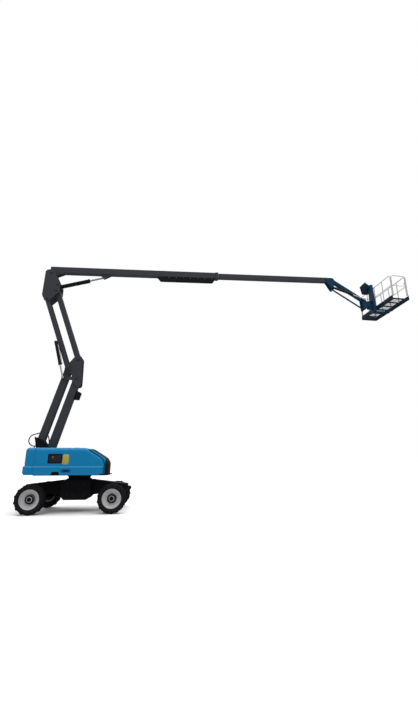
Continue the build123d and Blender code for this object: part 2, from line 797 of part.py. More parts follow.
def hood_body(front, inset, inner, low):
    """A hood's form on the +Y side: a round-shouldered upper body over a skirt that stands proud."""
    side = HOOD_SIDE - inset
    upper = side_slab(hood_outline(front, inset, low), inner, side)
    rim = []
    for edge in upper.edges().filter_by_position(Axis.Y, side - 1, side + 1):
        if edge.center().Z > low + 1 and edge.center().X > HOOD_REAR + inset + 1:
            rim.append(edge)
    upper = fillet(rim, HOOD_SHOULDER - inset)
    out = HOOD_OUT - inset
    back = HOOD_REAR + inset
    nose = front - inset
    crease = CREASE_Z - inset * math.tan(math.pi / 8)
    ledge = crease - SKIRT_OUT
    section = [(inner, low), (out, low), (out, ledge), (out - SKIRT_OUT, crease), (inner, crease)]
    corner = HOOD_SHOULDER + SKIRT_OUT - inset
    bent = FilletPolyline((back, out), (nose, out), (nose, inner), radius=corner)
    plan = make_face(bent.edges() + Polyline((nose, inner), (back, inner), (back, out)).edges())
    skirt = end_prism(section, back, nose) & extrude(Pos(0, 0, low) * plan, amount=crease - low)
    return upper + skirt


def hood(side):
    """A side hood, hollow, open below and towards the channel, with its openings and hinge leaves."""
    front = hood_front(side)
    shell = hood_body(front, 0, HOOD_INNER, HOOD_BOTTOM)
    shell -= hood_body(front, HOOD_WALL, HOOD_INNER - 1, HOOD_BOTTOM - 1)
    latch = Pos(LATCH_X, LATCH_Z) * SlotOverall(LATCH_LENGTH, LATCH_HEIGHT)
    shell -= side_slab(latch, HOOD_SIDE, HOOD_OUT + 1)
    if side < 0:
        width = WINDOW_X[1] - WINDOW_X[0]
        height = WINDOW_Z[1] - WINDOW_Z[0]
        middle = Pos((WINDOW_X[0] + WINDOW_X[1]) / 2, (WINDOW_Z[0] + WINDOW_Z[1]) / 2)
        window = middle * RectangleRounded(width, height, WINDOW_CORNER)
        shell -= side_slab(window, HOOD_SIDE - HOOD_SHOULDER, HOOD_OUT)
    leaf = (HOOD_HINGE_LENGTH - HOOD_HINGE_BRACKET) / 2 - HOOD_HINGE_SIDE_GAP
    step = HOOD_HINGE_BRACKET / 2 + HOOD_HINGE_SIDE_GAP + leaf / 2
    leaf_out = HOOD_INNER + HOOD_HINGE_LEAF
    for x in HOOD_HINGE_X:
        for at in (x - step, x + step):
            shell += block(at - leaf / 2, at + leaf / 2, HOOD_HINGE_Y, leaf_out, HOOD_TOP - 1, HOOD_HINGE_Z)
            shell += hinge_bar(at, 1, HOOD_HINGE_TUBE, leaf)
            shell -= hinge_bar(at, 1, HOOD_HINGE_PIN + RUN_GAP, leaf + 2)
    return shell if side > 0 else mirror(shell, Plane.XZ)


def nose_form(front, inset, low):
    """The space ahead of a hood's slope that its nose moulding fills, drawn in by inset."""
    inner = HOOD_INNER + inset
    form = hood_body(front + NOSE_DEPTH, inset, inner, low)
    form -= side_slab(hood_outline(front + RUN_GAP + inset, 0, low - 1), inner - 1, HOOD_OUT + 1)
    high = HOOD_TOP - NOSE_TOP_CUT - inset
    return form - block(HOOD_REAR, front + NOSE_DEPTH, inner - 1, HOOD_OUT + 1, high, HOOD_TOP + 1)


def hood_nose(side):
    """The dark moulding on a hood's nose, hollow and open below."""
    front = hood_front(side)
    shell = nose_form(front, 0, HOOD_BOTTOM) - nose_form(front, HOOD_WALL, HOOD_BOTTOM - 1)
    return shell if side > 0 else mirror(shell, Plane.XZ)


def counterweight_skirt(front, low):
    """The counterweight's lower part, flared to the rear and proud at the sides like the hoods."""
    rear = COUNTERWEIGHT_REAR
    tail = rear - COUNTERWEIGHT_FLARE
    out = HOOD_OUT
    ledge = CREASE_Z - SKIRT_OUT
    outline = [
        (front, low),
        (rear + COUNTERWEIGHT_TUCK, low),
        (tail, low + COUNTERWEIGHT_RISE),
        (tail, ledge),
        (rear, CREASE_Z),
        (front, CREASE_Z),
    ]
    section = [
        (-out, low),
        (out, low),
        (out, ledge),
        (out - SKIRT_OUT, CREASE_Z),
        (-out + SKIRT_OUT, CREASE_Z),
        (-out, ledge),
    ]
    corners = [(front, -out), (tail, -out), (tail, out), (front, out)]
    bent = FilletPolyline(*corners, radius=HOOD_SHOULDER + SKIRT_OUT)
    plan = make_face(bent.edges() + Line(corners[-1], corners[0]).edges())
    body = side_prism(outline, -out, out) & end_prism(section, tail, front)
    return body & extrude(Pos(0, 0, low) * plan, amount=CREASE_Z - low)


def counterweight():
    """The cast counterweight across the tail, slotted for the uprights, with the hose's gland on top."""
    front = DECK_REAR - RUN_GAP
    low = TURNTABLE_BOTTOM + COUNTERWEIGHT_LOW
    upper = block(COUNTERWEIGHT_REAR, front, -HOOD_SIDE, HOOD_SIDE, low, HOOD_TOP)
    rounded = []
    for edge in upper.edges():
        at = edge.center()
        if at.X < front - 1 and at.Z > low + 1:
            rounded.append(edge)
    body = fillet(rounded, HOOD_SHOULDER) + counterweight_skirt(front, low)
    slot = UPRIGHT_GAP + UPRIGHT_PLATE + PIVOT_GAP
    slot_rear = COUNTERWEIGHT_REAR + COUNTERWEIGHT_BACK
    body -= block(slot_rear, front + 1, -slot, slot, TURNTABLE_BOTTOM, HOOD_TOP + 1)
    start_x, start_z = HOSE_ROUTE[0]
    gland = Pos(0, HOSE_Y, start_z) * round_bar(start_x, start_x + HOSE_GLAND_LENGTH, GLAND_RADIUS)
    foot_x = start_x + HOSE_GLAND_LENGTH / 2
    foot = block(foot_x - GLAND_SEAT, foot_x + GLAND_SEAT, HOSE_Y - GLAND_FOOT, HOSE_Y + GLAND_FOOT,
                 HOOD_TOP - GLAND_SEAT, start_z)
    return body + gland + foot


def hose_corner_radii():
    """A radius for each bend of the hose, as large as its two runs allow."""
    radii = []
    for a, b, c in zip(HOSE_ROUTE, HOSE_ROUTE[1:], HOSE_ROUTE[2:]):
        before = Vector(b[0] - a[0], 0, b[1] - a[1])
        after = Vector(c[0] - b[0], 0, c[1] - b[1])
        turn = math.radians(before.get_angle(after))
        shorter = min(before.length, after.length)
        radii.append(HOSE_ARC_SHARE * shorter / math.tan(turn / 2))
    return radii


def tower_hose():
    """The hose that loops out behind the tower's foot, from the counterweight down to the deck."""
    points = [(x, HOSE_Y, z) for x, z in HOSE_ROUTE]
    path = FilletPolyline(*points, radius=hose_corner_radii())
    return sweep(Plane(origin=path @ 0, z_dir=path % 0) * Circle(HOSE_RADIUS), path=path)


def battery_block():
    """The battery packs under the hoods, as plain blocks on the deck."""
    y = CHANNEL_HALF + BATTERY_OUT
    rear = BATTERY_FRONT - BATTERY_LENGTH
    body = block(rear, BATTERY_FRONT, y, y + BATTERY_DEPTH, DECK_TOP, DECK_TOP + BATTERY_HEIGHT)
    return body + mirror(body, Plane.XZ)


def ground_control():
    """The ground control panel behind the near hood's window, on a leg from the deck."""
    front = -HOOD_SIDE + HOOD_WALL + PANEL_SETBACK
    back = front + PANEL_DEPTH
    x0 = WINDOW_X[0] - PANEL_MARGIN
    x1 = WINDOW_X[1] + PANEL_MARGIN
    low = WINDOW_Z[0] - PANEL_MARGIN
    panel = block(x0, x1, front, back, low, WINDOW_Z[1] + PANEL_MARGIN)
    middle = (x0 + x1) / 2
    leg = block(middle - PANEL_LEG / 2, middle + PANEL_LEG / 2, back - PANEL_LEG_DEPTH, back, DECK_TOP, low)
    return panel + leg


def tower_tube(length, height, width, wall, eye, bore, corner):
    """A box tube along X with a boss at each end, bored for its pin."""
    half = width / 2
    tube = box_bar(0, length, width, height, corner)
    tube -= box_bar(eye, length - eye, width - 2 * wall, height - 2 * wall, corner - wall / 2)
    for x in (0, length):
        tube += pin((x, 0), eye, -half, half)
    for x in (0, length):
        tube -= pin((x, 0), bore, -half - 1, half + 1)
    return tube


def lower_arm():
    """The lower arm of the tower."""
    bore = PIN_RADIUS + PIN_CLEARANCE
    tube = tower_tube(LOWER_LENGTH, LOWER_HEIGHT, LOWER_WIDTH, LOWER_WALL, EYE_RADIUS, bore, TUBE_CORNER)
    return place(LOWER_ARM_PIVOT, LOWER_ANGLE) * tube


def valve_box():
    """The case of the tower's valves under the lower arm, near its top."""
    near = -LOWER_HEIGHT / 2
    end = VALVE_ALONG + VALVE_LENGTH
    outline = [
        (VALVE_ALONG, near),
        (VALVE_ALONG + VALVE_TAPER, near - VALVE_DEPTH),
        (end - VALVE_TAPER, near - VALVE_DEPTH),
        (end, near),
    ]
    case = side_prism(outline, -VALVE_HALF_WIDTH, VALVE_HALF_WIDTH)
    outer = [edge for edge in case.edges() if edge.center().Z < near - 1]
    return place(LOWER_ARM_PIVOT, LOWER_ANGLE) * chamfer(outer, VALVE_TAPER / 4)


def lower_link():
    """The lower link, which keeps the middle knuckle level."""
    bore = PIN_RADIUS + PIN_CLEARANCE
    tube = tower_tube(
        LOWER_LENGTH, LOWER_LINK_HEIGHT, LOWER_WIDTH, LOWER_WALL, EYE_RADIUS, bore, TUBE_CORNER
    )
    return place(LOWER_LINK_PIVOT, LOWER_ANGLE) * tube


def mid_knuckle():
    """The middle knuckle: two notched plates, the pins of arms and links and the tower cylinder's foot."""
    discs = [
        (LOWER_ARM_TOP, MID_EYE),
        (shifted(LOWER_ARM_TOP, MID_LOBE), MID_LOBE_RADIUS),
        (UPPER_ARM_PIVOT, MID_EYE),
        (UPPER_LINK_PIVOT, MID_LINK_EYE),
    ]
    outer = UPRIGHT_GAP + MID_PLATE
    body = both_sides(UPRIGHT_GAP, MID_PLATE, lambda a, b: hull_plate(discs, a, b))
    body -= pin(shifted(UPPER_LINK_PIVOT, MID_NOTCH), MID_NOTCH_RADIUS, -outer - 1, outer + 1)
    reach = UPPER_LINK_INNER + UPPER_LINK_WIDTH + PIN_HEAD
    body += pin(LOWER_ARM_TOP, PIN_RADIUS, -outer, outer)
    body += pin(UPPER_ARM_PIVOT, PIN_RADIUS, -outer, outer)
    body += pin(UPPER_LINK_PIVOT, PIN_RADIUS, -reach, reach)
    arm = [(LOWER_ARM_TOP, RISER_PLATE_RADIUS), (RISER_FOOT, RISER_PLATE_RADIUS)]
    body += hull_plate(arm, -outer, -UPRIGHT_GAP)
    return body + pin(RISER_FOOT, RISER_FOOT_RADIUS, -RISER_Y + RISER_ROD_RADIUS + PIVOT_GAP, -UPRIGHT_GAP)


def upper_arm():
    """The upper arm of the tower, with a wide boss at its top."""
    bore = PIN_RADIUS + PIN_CLEARANCE
    tube = tower_tube(
        UPPER_LENGTH, UPPER_HEIGHT, UPPER_WIDTH, UPPER_WALL, UPPER_EYE_RADIUS, bore, TUBE_CORNER
    )
    wide = TOP_PLATE_INNER - PIVOT_GAP
    top = (UPPER_LENGTH, 0)
    boss = pin(top, UPPER_BOSS_RADIUS, -wide, wide) - pin(top, bore, -wide, wide)
    return place(UPPER_ARM_PIVOT, UPPER_ANGLE) * (tube + boss)


def upper_link():
    """The upper link: a slim bar on each side of the arms, the near one with the tower cylinder's pin."""
    bore = PIN_RADIUS + PIN_CLEARANCE
    bar = tower_tube(
        UPPER_LENGTH, UPPER_LINK_HEIGHT, UPPER_LINK_WIDTH, UPPER_WALL, LINK_EYE_RADIUS, bore, LINK_CORNER
    )
    y = UPPER_LINK_INNER + UPPER_LINK_WIDTH / 2
    body = place(UPPER_LINK_PIVOT, UPPER_ANGLE) * (Pos(0, y, 0) * bar + Pos(0, -y, 0) * bar)
    foot = ahead(UPPER_LINK_PIVOT, UPPER_ANGLE, RISER_ALONG)
    outer = UPPER_LINK_INNER + UPPER_LINK_WIDTH
    ear = hull_plate([(RISER_HEAD, RISER_EAR_RADIUS), (foot, RISER_EAR_FOOT)], -outer, -y)
    return body + ear + pin(RISER_HEAD, RISER_PIN_RADIUS, -RISER_Y - CYLINDER_EYE / 2 - PIN_HEAD, -y)


def top_knuckle():
    """The top knuckle: two outer plates with the pins of the arm, link, boom and lift cylinder."""
    discs = [
        (UPPER_LINK_TOP, TOP_LINK_EYE),
        (shifted(UPPER_LINK_TOP, TOP_HEEL), TOP_LINK_EYE),
        (UPPER_ARM_TOP, TOP_ARM_EYE),
        (LIFT_BASE, TOP_LIFT_EYE),
        (BOOM_PIVOT, TOP_BOOM_EYE),
        (shifted(BOOM_PIVOT, TOP_CREST), TOP_BOOM_EYE),
    ]
    body = both_sides(TOP_PLATE_INNER, TOP_PLATE, lambda a, b: hull_plate(discs, a, b))
    outer = TOP_PLATE_INNER + TOP_PLATE
    for pivot in (UPPER_ARM_TOP, LIFT_BASE, BOOM_PIVOT):
        body += pin(pivot, PIN_RADIUS, -outer, outer)
    stub = UPPER_LINK_INNER - PIN_CLEARANCE
    return body + both_sides(stub, outer - stub, lambda a, b: pin(UPPER_LINK_TOP, PIN_RADIUS, a, b))


def boom_outer():
    """The outer boom tube with its pivot lugs, lift lugs and front collar."""
    half = BOOM_WIDTH / 2
    level = Pos(0, 0, BOOM_RISE)
    collar_width = BOOM_WIDTH + 2 * COLLAR_RISE
    collar_height = BOOM_HEIGHT + 2 * COLLAR_RISE
    tube = level * box_bar(-BOOM_TAIL, BOOM_FRONT, BOOM_WIDTH, BOOM_HEIGHT, BOOM_CORNER)
    tube += level * box_bar(BOOM_FRONT - COLLAR_LENGTH, BOOM_FRONT, collar_width, collar_height, BOOM_CORNER)
    hollow_width = BOOM_WIDTH - 2 * BOOM_WALL
    hollow_height = BOOM_HEIGHT - 2 * BOOM_WALL
    hollow_corner = BOOM_CORNER - BOOM_WALL
    hollow_start = -BOOM_TAIL + BOOM_END_PLATE
    tube -= level * box_bar(hollow_start, BOOM_FRONT + 1, hollow_width, hollow_height, hollow_corner)
    rear_lug = [
        ((0, 0), REAR_LUG_RADIUS),
        ((-BOOM_TAIL + BOOM_CORNER, BOOM_LOW), BOOM_CORNER),
        ((REAR_LUG_REACH, BOOM_LOW), BOOM_WALL),
    ]
    tube += both_sides(half - REAR_LUG_PLATE, REAR_LUG_PLATE, lambda a, b: hull_plate(rear_lug, a, b))
    wide = TOP_PLATE_INNER - PIVOT_GAP
    tube += pin((0, 0), BOOM_BOSS, -wide, wide)
    tube -= pin((0, 0), PIN_RADIUS + PIN_CLEARANCE, -wide - 1, wide + 1)
    seat = BOOM_LOW - BOOM_WALL - RUN_GAP
    lug = [
        ((LIFT_LUG_ALONG, LIFT_LUG_DROP), LIFT_LUG_RADIUS),
        ((LIFT_LUG_ALONG - LIFT_LUG_BACK, seat + BOOM_WALL), BOOM_WALL),
        ((LIFT_LUG_ALONG + LIFT_LUG_AHEAD, seat + BOOM_WALL), BOOM_WALL),
    ]
    gap = CYLINDER_EYE / 2 + LIFT_LUG_GAP
    tube += both_sides(gap, LIFT_LUG_PLATE, lambda a, b: hull_plate(lug, a, b))
    return place(BOOM_PIVOT, BOOM_ANGLE) * tube


def cable_tray():
    """The tray for the cable track under the outer boom, open towards it, with sloped ends."""
    front = BOOM_FRONT - COLLAR_LENGTH - TRAY_END_GAP
    start = front - TRAY_LENGTH
    low = BOOM_LOW - TRAY_HEIGHT
    half = TRAY_WIDTH / 2
    outline = [(start, BOOM_LOW), (start + TRAY_SLOPE, low), (front - TRAY_SLOPE, low), (front, BOOM_LOW)]
    w = TRAY_WALL
    inside = [
        (start + 2 * w, BOOM_LOW + 1),
        (start + TRAY_SLOPE + w, low + w),
        (front - TRAY_SLOPE - w, low + w),
        (front - 2 * w, BOOM_LOW + 1),
    ]
    tray = side_prism(outline, -half, half) - side_prism(inside, -half + w, half - w)
    return place(BOOM_PIVOT, BOOM_ANGLE) * tray


def boom_inner():
    """The inner boom tube with wear pads at its rear and two nose plates for the jib."""
    half = INNER_WIDTH / 2
    level = Pos(0, 0, BOOM_RISE)
    w = INNER_WALL
    end = INNER_FRONT - BOOM_END_PLATE
    tube = box_bar(INNER_REAR, INNER_FRONT, INNER_WIDTH, INNER_HEIGHT, INNER_CORNER)
    pad_start = INNER_REAR + WEAR_PAD_BACK
    pad_width = BOOM_WIDTH - 2 * BOOM_WALL - 2 * RUN_GAP
    pad_height = BOOM_HEIGHT - 2 * BOOM_WALL - 2 * RUN_GAP
    tube += box_bar(pad_start, pad_start + WEAR_PAD_LENGTH, pad_width, pad_height, INNER_CORNER)
    tube -= box_bar(INNER_REAR - 1, end, INNER_WIDTH - 2 * w, INNER_HEIGHT - 2 * w, INNER_CORNER - w)
    nose = [((NOSE_PIVOT, 0), NOSE_RADIUS), ((INNER_FRONT - NOSE_OVERLAP, 0), NOSE_RADIUS)]
    tube += both_sides(half - NOSE_PLATE, NOSE_PLATE, lambda a, b: hull_plate(nose, a, b))
    tube -= pin((NOSE_PIVOT, 0), JIB_PIN_RADIUS + PIN_CLEARANCE, -half - 1, half + 1)
    return place(BOOM_PIVOT, BOOM_ANGLE) * level * tube


def barrel_solid(length, radius, rod, bore):
    """A cylinder barrel along X from its base eye to its gland, open for its rod."""
    body = round_bar(0, length, radius) + round_bar(length - GLAND_LENGTH, length, radius + GLAND_RISE)
    body -= round_bar(radius, length + 1, rod + RUN_GAP)
    body += pin((0, 0), radius + BARREL_EYE_RISE, -CYLINDER_EYE / 2, CYLINDER_EYE / 2)
    return body - pin((0, 0), bore, -radius - 1, radius + 1)


def rod_solid(length, rod, start):
    """A cylinder rod along X, from start inside its barrel to a closed eye at length."""
    eye = pin((length, 0), rod + ROD_EYE_RISE, -CYLINDER_EYE / 2, CYLINDER_EYE / 2)
    return round_bar(start, length, rod) + eye


def lift_cylinder():
    """Barrel and rod of the boom's lift cylinder."""
    length, angle = span(LIFT_BASE, LIFT_LUG)
    at = place(LIFT_BASE, angle)
    bore = PIN_RADIUS + PIN_CLEARANCE
    barrel = at * barrel_solid(LIFT_BARREL_LENGTH, LIFT_BARREL_RADIUS, LIFT_ROD_RADIUS, bore)
    return barrel, at * rod_solid(length, LIFT_ROD_RADIUS, LIFT_ROD_START)


def riser_cylinder():
    """Barrel and rod of the tower's cylinder, beside the upper link."""
    length, angle = span(RISER_HEAD, RISER_FOOT)
    at = Pos(0, -RISER_Y, 0) * place(RISER_HEAD, angle)
    bore = RISER_PIN_RADIUS + PIN_CLEARANCE
    barrel = at * barrel_solid(RISER_BARREL_LENGTH, RISER_BARREL_RADIUS, RISER_ROD_RADIUS, bore)
    return barrel, at * rod_solid(length, RISER_ROD_RADIUS, RISER_ROD_START)


def jib_cylinder():
    """Barrel and rod of the jib's cylinder, beside the jib."""
    length, angle = span(JIB_LINK_PIVOT, JIB_TIP)
    at = Pos(0, -JIB_CYLINDER_Y, 0) * place(JIB_LINK_PIVOT, angle)
    bore = JIB_PIN_RADIUS + PIN_CLEARANCE
    barrel = at * barrel_solid(JIB_BARREL_LENGTH, JIB_BARREL_RADIUS, JIB_ROD_RADIUS, bore)
    return barrel, at * rod_solid(length, JIB_ROD_RADIUS, JIB_ROD_START)


def jib_base():
    """The levelling bracket on the boom's nose that carries the jib."""
    discs = [(NOSE, JIB_BASE_EYE), (JIB_PIVOT, JIB_BASE_EYE), (JIB_LINK_PIVOT, JIB_BASE_LINK_EYE)]
    body = both_sides(JIB_PLATE_INNER, JIB_PLATE, lambda a, b: hull_plate(discs, a, b))
    outer = JIB_PLATE_INNER + JIB_PLATE
    body += pin(NOSE, JIB_PIN_RADIUS, -outer, outer)
    body += pin(JIB_PIVOT, JIB_PIN_RADIUS, -outer, outer)
    return body + pin(JIB_LINK_PIVOT, JIB_PIN_RADIUS, -JIB_CYLINDER_Y - CYLINDER_EYE / 2 - PIN_HEAD, outer)


def jib_beam():
    """The jib's box beam."""
    bore = JIB_PIN_RADIUS + PIN_CLEARANCE
    tube = tower_tube(JIB_LENGTH, JIB_HEIGHT, JIB_WIDTH, JIB_WALL, JIB_EYE_RADIUS, bore, JIB_CORNER)
    return place(JIB_PIVOT, JIB_ANGLE) * tube


def jib_link():
    """The thin link under the jib, which keeps the platform level."""
    bore = JIB_PIN_RADIUS + PIN_CLEARANCE
    bar = tower_tube(
        JIB_LENGTH, JIB_LINK_HEIGHT, JIB_LINK_WIDTH, JIB_WALL, JIB_LINK_EYE, bore, JIB_LINK_CORNER
    )
    return place(JIB_LINK_PIVOT, JIB_ANGLE) * bar


def jib_end():
    """The bracket at the jib's tip, with the jib cylinder's pin and the rotator's housing."""
    neck = (ROTATOR_X - JIB_END_NECK, ROTATOR_MID)
    discs = [(JIB_TIP, JIB_END_EYE), (JIB_LINK_TIP, JIB_END_LINK_EYE), (neck, JIB_END_NECK_RADIUS)]
    body = both_sides(JIB_PLATE_INNER, JIB_PLATE, lambda a, b: hull_plate(discs, a, b))
    outer = JIB_PLATE_INNER + JIB_PLATE
    reach = JIB_CYLINDER_Y - CYLINDER_EYE / 2 - PIVOT_GAP
    body += pin(JIB_TIP, JIB_PIN_RADIUS, -reach, outer) + pin(JIB_LINK_TIP, JIB_PIN_RADIUS, -outer, outer)
    low = ROTATOR_MID - ROTATOR_WEB_HALF
    body += block(ROTATOR_X - ROTATOR_WEB, ROTATOR_X, -outer, outer, low, ROTATOR_MID + ROTATOR_WEB_HALF)
    return body + Pos(ROTATOR_X, 0, ROTATOR_MID) * Cylinder(ROTATOR_CASE, ROTATOR_HEIGHT)


def platform_support():
    """The tapered post on the rotator, its two arms and the bearers under the floor."""
    x0 = ROTATOR_X + ROTATOR_RADIUS + POST_GAP
    low = FLOOR_TOP - DECK_TUBE - BEARER
    high = FLOOR_TOP + POST_HEIGHT
    outline = [
        (-POST_WIDTH / 2, low),
        (POST_WIDTH / 2, low),
        (POST_TOP_WIDTH / 2, high),
        (-POST_TOP_WIDTH / 2, high),
    ]
    post = end_prism(outline, x0, x0 + POST_DEPTH)
    hollow = end_plane(x0 + POST_WALL) * inset_face(outline, POST_WALL)
    post -= extrude(hollow, amount=POST_DEPTH - 2 * POST_WALL)
    half = ROTATOR_HEIGHT / 2 + RUN_GAP
    for z in (ROTATOR_MID - half - ROTATOR_ARM, ROTATOR_MID + half):
        post += block(ROTATOR_X, x0 + POST_WALL, -ROTATOR_RADIUS, ROTATOR_RADIUS, z, z + ROTATOR_ARM)
        post += Pos(ROTATOR_X, 0, z + ROTATOR_ARM / 2) * Cylinder(ROTATOR_RADIUS, ROTATOR_ARM)
    for y in (-BEARER_Y, BEARER_Y):
        y0 = y - BEARER / 2
        post += block(x0 + POST_WALL, PLATFORM_FRONT - BEARER_END, y0, y0 + BEARER, low, low + BEARER)
    return post


def platform_floor():
    """The floor: a tube frame with cross members, a slotted deck sheet and toe boards."""
    half = PLATFORM_WIDTH / 2
    t = DECK_TUBE
    top = FLOOR_TOP
    x0 = PLATFORM_REAR
    x1 = PLATFORM_FRONT
    frame = block(x0, x1, -half, half, top - t, top)
    frame -= block(x0 + t, x1 - t, -half + t, half - t, top - t - 1, top - DECK_SHEET)
    bay = (PLATFORM_WIDTH - 2 * t + FLOOR_MEMBER) / FLOOR_BAYS
    clear = bay - FLOOR_MEMBER
    slot = (clear - (FLOOR_SLOTS + 1) * FLOOR_RIB) / FLOOR_SLOTS
    margin = t + FLOOR_SLOT_END
    slots = []
    members = []
    for i in range(FLOOR_BAYS):
        y = -half + t + i * bay
        if i > 0:
            members.append(block(x0 + t, x1 - t, y - FLOOR_MEMBER, y, top - t, top - DECK_SHEET))
        for j in range(FLOOR_SLOTS):
            a = y + FLOOR_RIB + j * (slot + FLOOR_RIB)
            slots.append(block(x0 + margin, x1 - margin, a, a + slot, top - t, top + 1))
    frame = frame + members - slots
    board = block(x0, x1, -half, half, top - 1, top + TOE_BOARD)
    board -= block(x0 + TOE_SHEET, x1 - TOE_SHEET, -half - 1, half - TOE_SHEET, top - 2, top + TOE_BOARD + 1)
    return frame + board


def rail_panel(width, posts):
    """A flat rail panel along X: a bent top tube that is also its end posts, a mid rail and inner posts."""
    low = FLOOR_TOP + TOE_BOARD + RUN_GAP
    high = RAIL_TOP - RAIL_RADIUS
    left = RAIL_RADIUS
    right = width - RAIL_RADIUS
    corners = [(left, 0, low), (left, 0, high), (right, 0, high), (right, 0, low)]
    path = FilletPolyline(*corners, radius=RAIL_CORNER)
    panel = sweep(Plane(origin=path @ 0, z_dir=path % 0) * Circle(RAIL_RADIUS), path=path)
    panel += Pos(0, 0, FLOOR_TOP + MID_RAIL_HEIGHT) * round_bar(left, right, MID_RAIL_RADIUS)
    for i in range(1, posts - 1):
        x = left + i * (right - left) / (posts - 1)
        panel += Pos(x, 0, (low + high) / 2) * Cylinder(RAIL_RADIUS, high - low)
    return panel


def platform_rails():
    """Front, rear and far end rails and the gate at the near end."""
    half = PLATFORM_WIDTH / 2
    long_run = PLATFORM_WIDTH - 2 * RAIL_RADIUS
    across = Rot(0, 0, 90) * rail_panel(long_run, LONG_RAIL_POSTS)
    front = Pos(PLATFORM_FRONT - RAIL_RADIUS, -long_run / 2, 0) * across
    rear = Pos(PLATFORM_REAR + RAIL_RADIUS, -long_run / 2, 0) * across
    inside = PLATFORM_DEPTH - 4 * RAIL_RADIUS
    start = PLATFORM_REAR + 2 * RAIL_RADIUS
    end_rail = Pos(start + RUN_GAP, half - 2 * RAIL_RADIUS, 0) * rail_panel(inside - 2 * RUN_GAP, 2)
    gate = Pos(start + GATE_GAP, GATE_Y, 0) * rail_panel(inside - 2 * GATE_GAP, 2)
    thick = GATE_BRIDGE / 2
    tall = GATE_COLLAR_HEIGHT / 2
    for level in GATE_COLLAR_LEVELS:
        z = FLOOR_TOP + level
        centre = Pos(GATE_X, GATE_Y, z)
        post_x = PLATFORM_REAR + RAIL_RADIUS
        collar = block(post_x, GATE_X, GATE_Y - thick, GATE_Y + thick, z - tall, z + tall)
        collar += centre * Cylinder(GATE_COLLAR, GATE_COLLAR_HEIGHT)
        rear += collar - centre * Cylinder(RAIL_RADIUS + RUN_GAP, GATE_COLLAR_HEIGHT + 1)
    return front, rear, end_rail, gate


def control_box():
    """The platform's control console on the rear rail, its panel sloped towards the platform."""
    seat = RAIL_TOP + RUN_GAP
    inner = PLATFORM_REAR - CONSOLE_RAIL_GAP
    lip = PLATFORM_REAR + CONSOLE_LIP
    back = PLATFORM_REAR - CONSOLE_BACK
    outline = [
        (inner, seat),
        (inner, RAIL_TOP - CONSOLE_DROP),
        (back + CONSOLE_LEAN, RAIL_TOP - CONSOLE_DROP),
        (back, RAIL_TOP + CONSOLE_RISE - CONSOLE_LEAN),
        (back + CONSOLE_LEAN, RAIL_TOP + CONSOLE_RISE),
        (lip, seat + CONSOLE_LIP_HEIGHT),
        (lip, seat),
    ]
    case = side_prism(outline, *CONSOLE_Y)
    ends = []
    for edge in case.edges().filter_by_position(Axis.Y, CONSOLE_Y[0], CONSOLE_Y[1], (False, False)):
        if edge.center().Z > RAIL_TOP + CONSOLE_LIP_HEIGHT or edge.center().X < back + CONSOLE_LEAN + 1:
            ends.append(edge)
    return fillet(ends, CONSOLE_ROUND)


def build_nodes():
    """Every node by its name."""
    nodes = {
        "chassis_frame": chassis_frame(),
        "axle_fixed": fixed_axle(),
        "axle_steer": steer_axle(),
        "slew_ring": slew_ring(),
        "tie_rod": tie_rod(),
        "turntable_base": turntable_base(),
        "counterweight": counterweight(),
        "battery_block": battery_block(),
        "ground_control": ground_control(),
        "tower_hose": tower_hose(),
        "hood_near": hood(-1),
        "hood_far": hood(1),
        "hood_nose_near": hood_nose(-1),
        "hood_nose_far": hood_nose(1),
        "lower_arm": lower_arm(),
        "valve_box": valve_box(),
        "lower_link": lower_link(),
        "mid_knuckle": mid_knuckle(),
        "upper_arm": upper_arm(),
        "upper_link": upper_link(),
        "top_knuckle": top_knuckle(),
        "boom_outer": boom_outer(),
        "cable_tray": cable_tray(),
        "boom_inner": boom_inner(),
        "jib_base": jib_base(),
        "jib_beam": jib_beam(),
        "jib_link": jib_link(),
        "jib_end": jib_end(),
        "platform_support": platform_support(),
        "platform_floor": platform_floor(),
        "control_box": control_box(),
    }
    nodes["lift_barrel"], nodes["lift_rod"] = lift_cylinder()
    nodes["riser_barrel"], nodes["riser_rod"] = riser_cylinder()
    nodes["jib_barrel"], nodes["jib_rod"] = jib_cylinder()
    rails = platform_rails()
    for name, rail in zip(("rail_front", "rail_rear", "rail_end", "platform_gate"), rails):
        nodes[name] = rail
    tyre = tyre_solid()
    rim = rim_solid()
    for end, end_name in ((-1, "steer"), (1, "fixed")):
        for side, side_name in ((-1, "near"), (1, "far")):
            at = wheel_place(end, side)
            nodes[f"tyre_{end_name}_{side_name}"] = at * tyre
            nodes[f"rim_{end_name}_{side_name}"] = at * rim
    for side, side_name in ((-1, "near"), (1, "far")):
        nodes[f"knuckle_{side_name}"] = steer_knuckle(side)
    return nodes


def main():
    """Write one STEP file for each node and print the radii of the hose's bends."""
    os.makedirs("parts", exist_ok=True)
    for name, solid in build_nodes().items():
        export_step(solid, f"parts/{name}.step")
    print("hose radii", [round(radius) for radius in hose_corner_radii()])


if __name__ == "__main__":
    main()
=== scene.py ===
"""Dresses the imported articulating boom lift: finishes, small hardware, studio light and camera.

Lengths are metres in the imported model's frame: X along the boom, Y away from the camera, Z up.
"""

import json
import logging
import math
from dataclasses import dataclass, replace
from enum import Enum
from typing import Any, Sequence

import bmesh
import bpy
from mathutils import Matrix, Vector

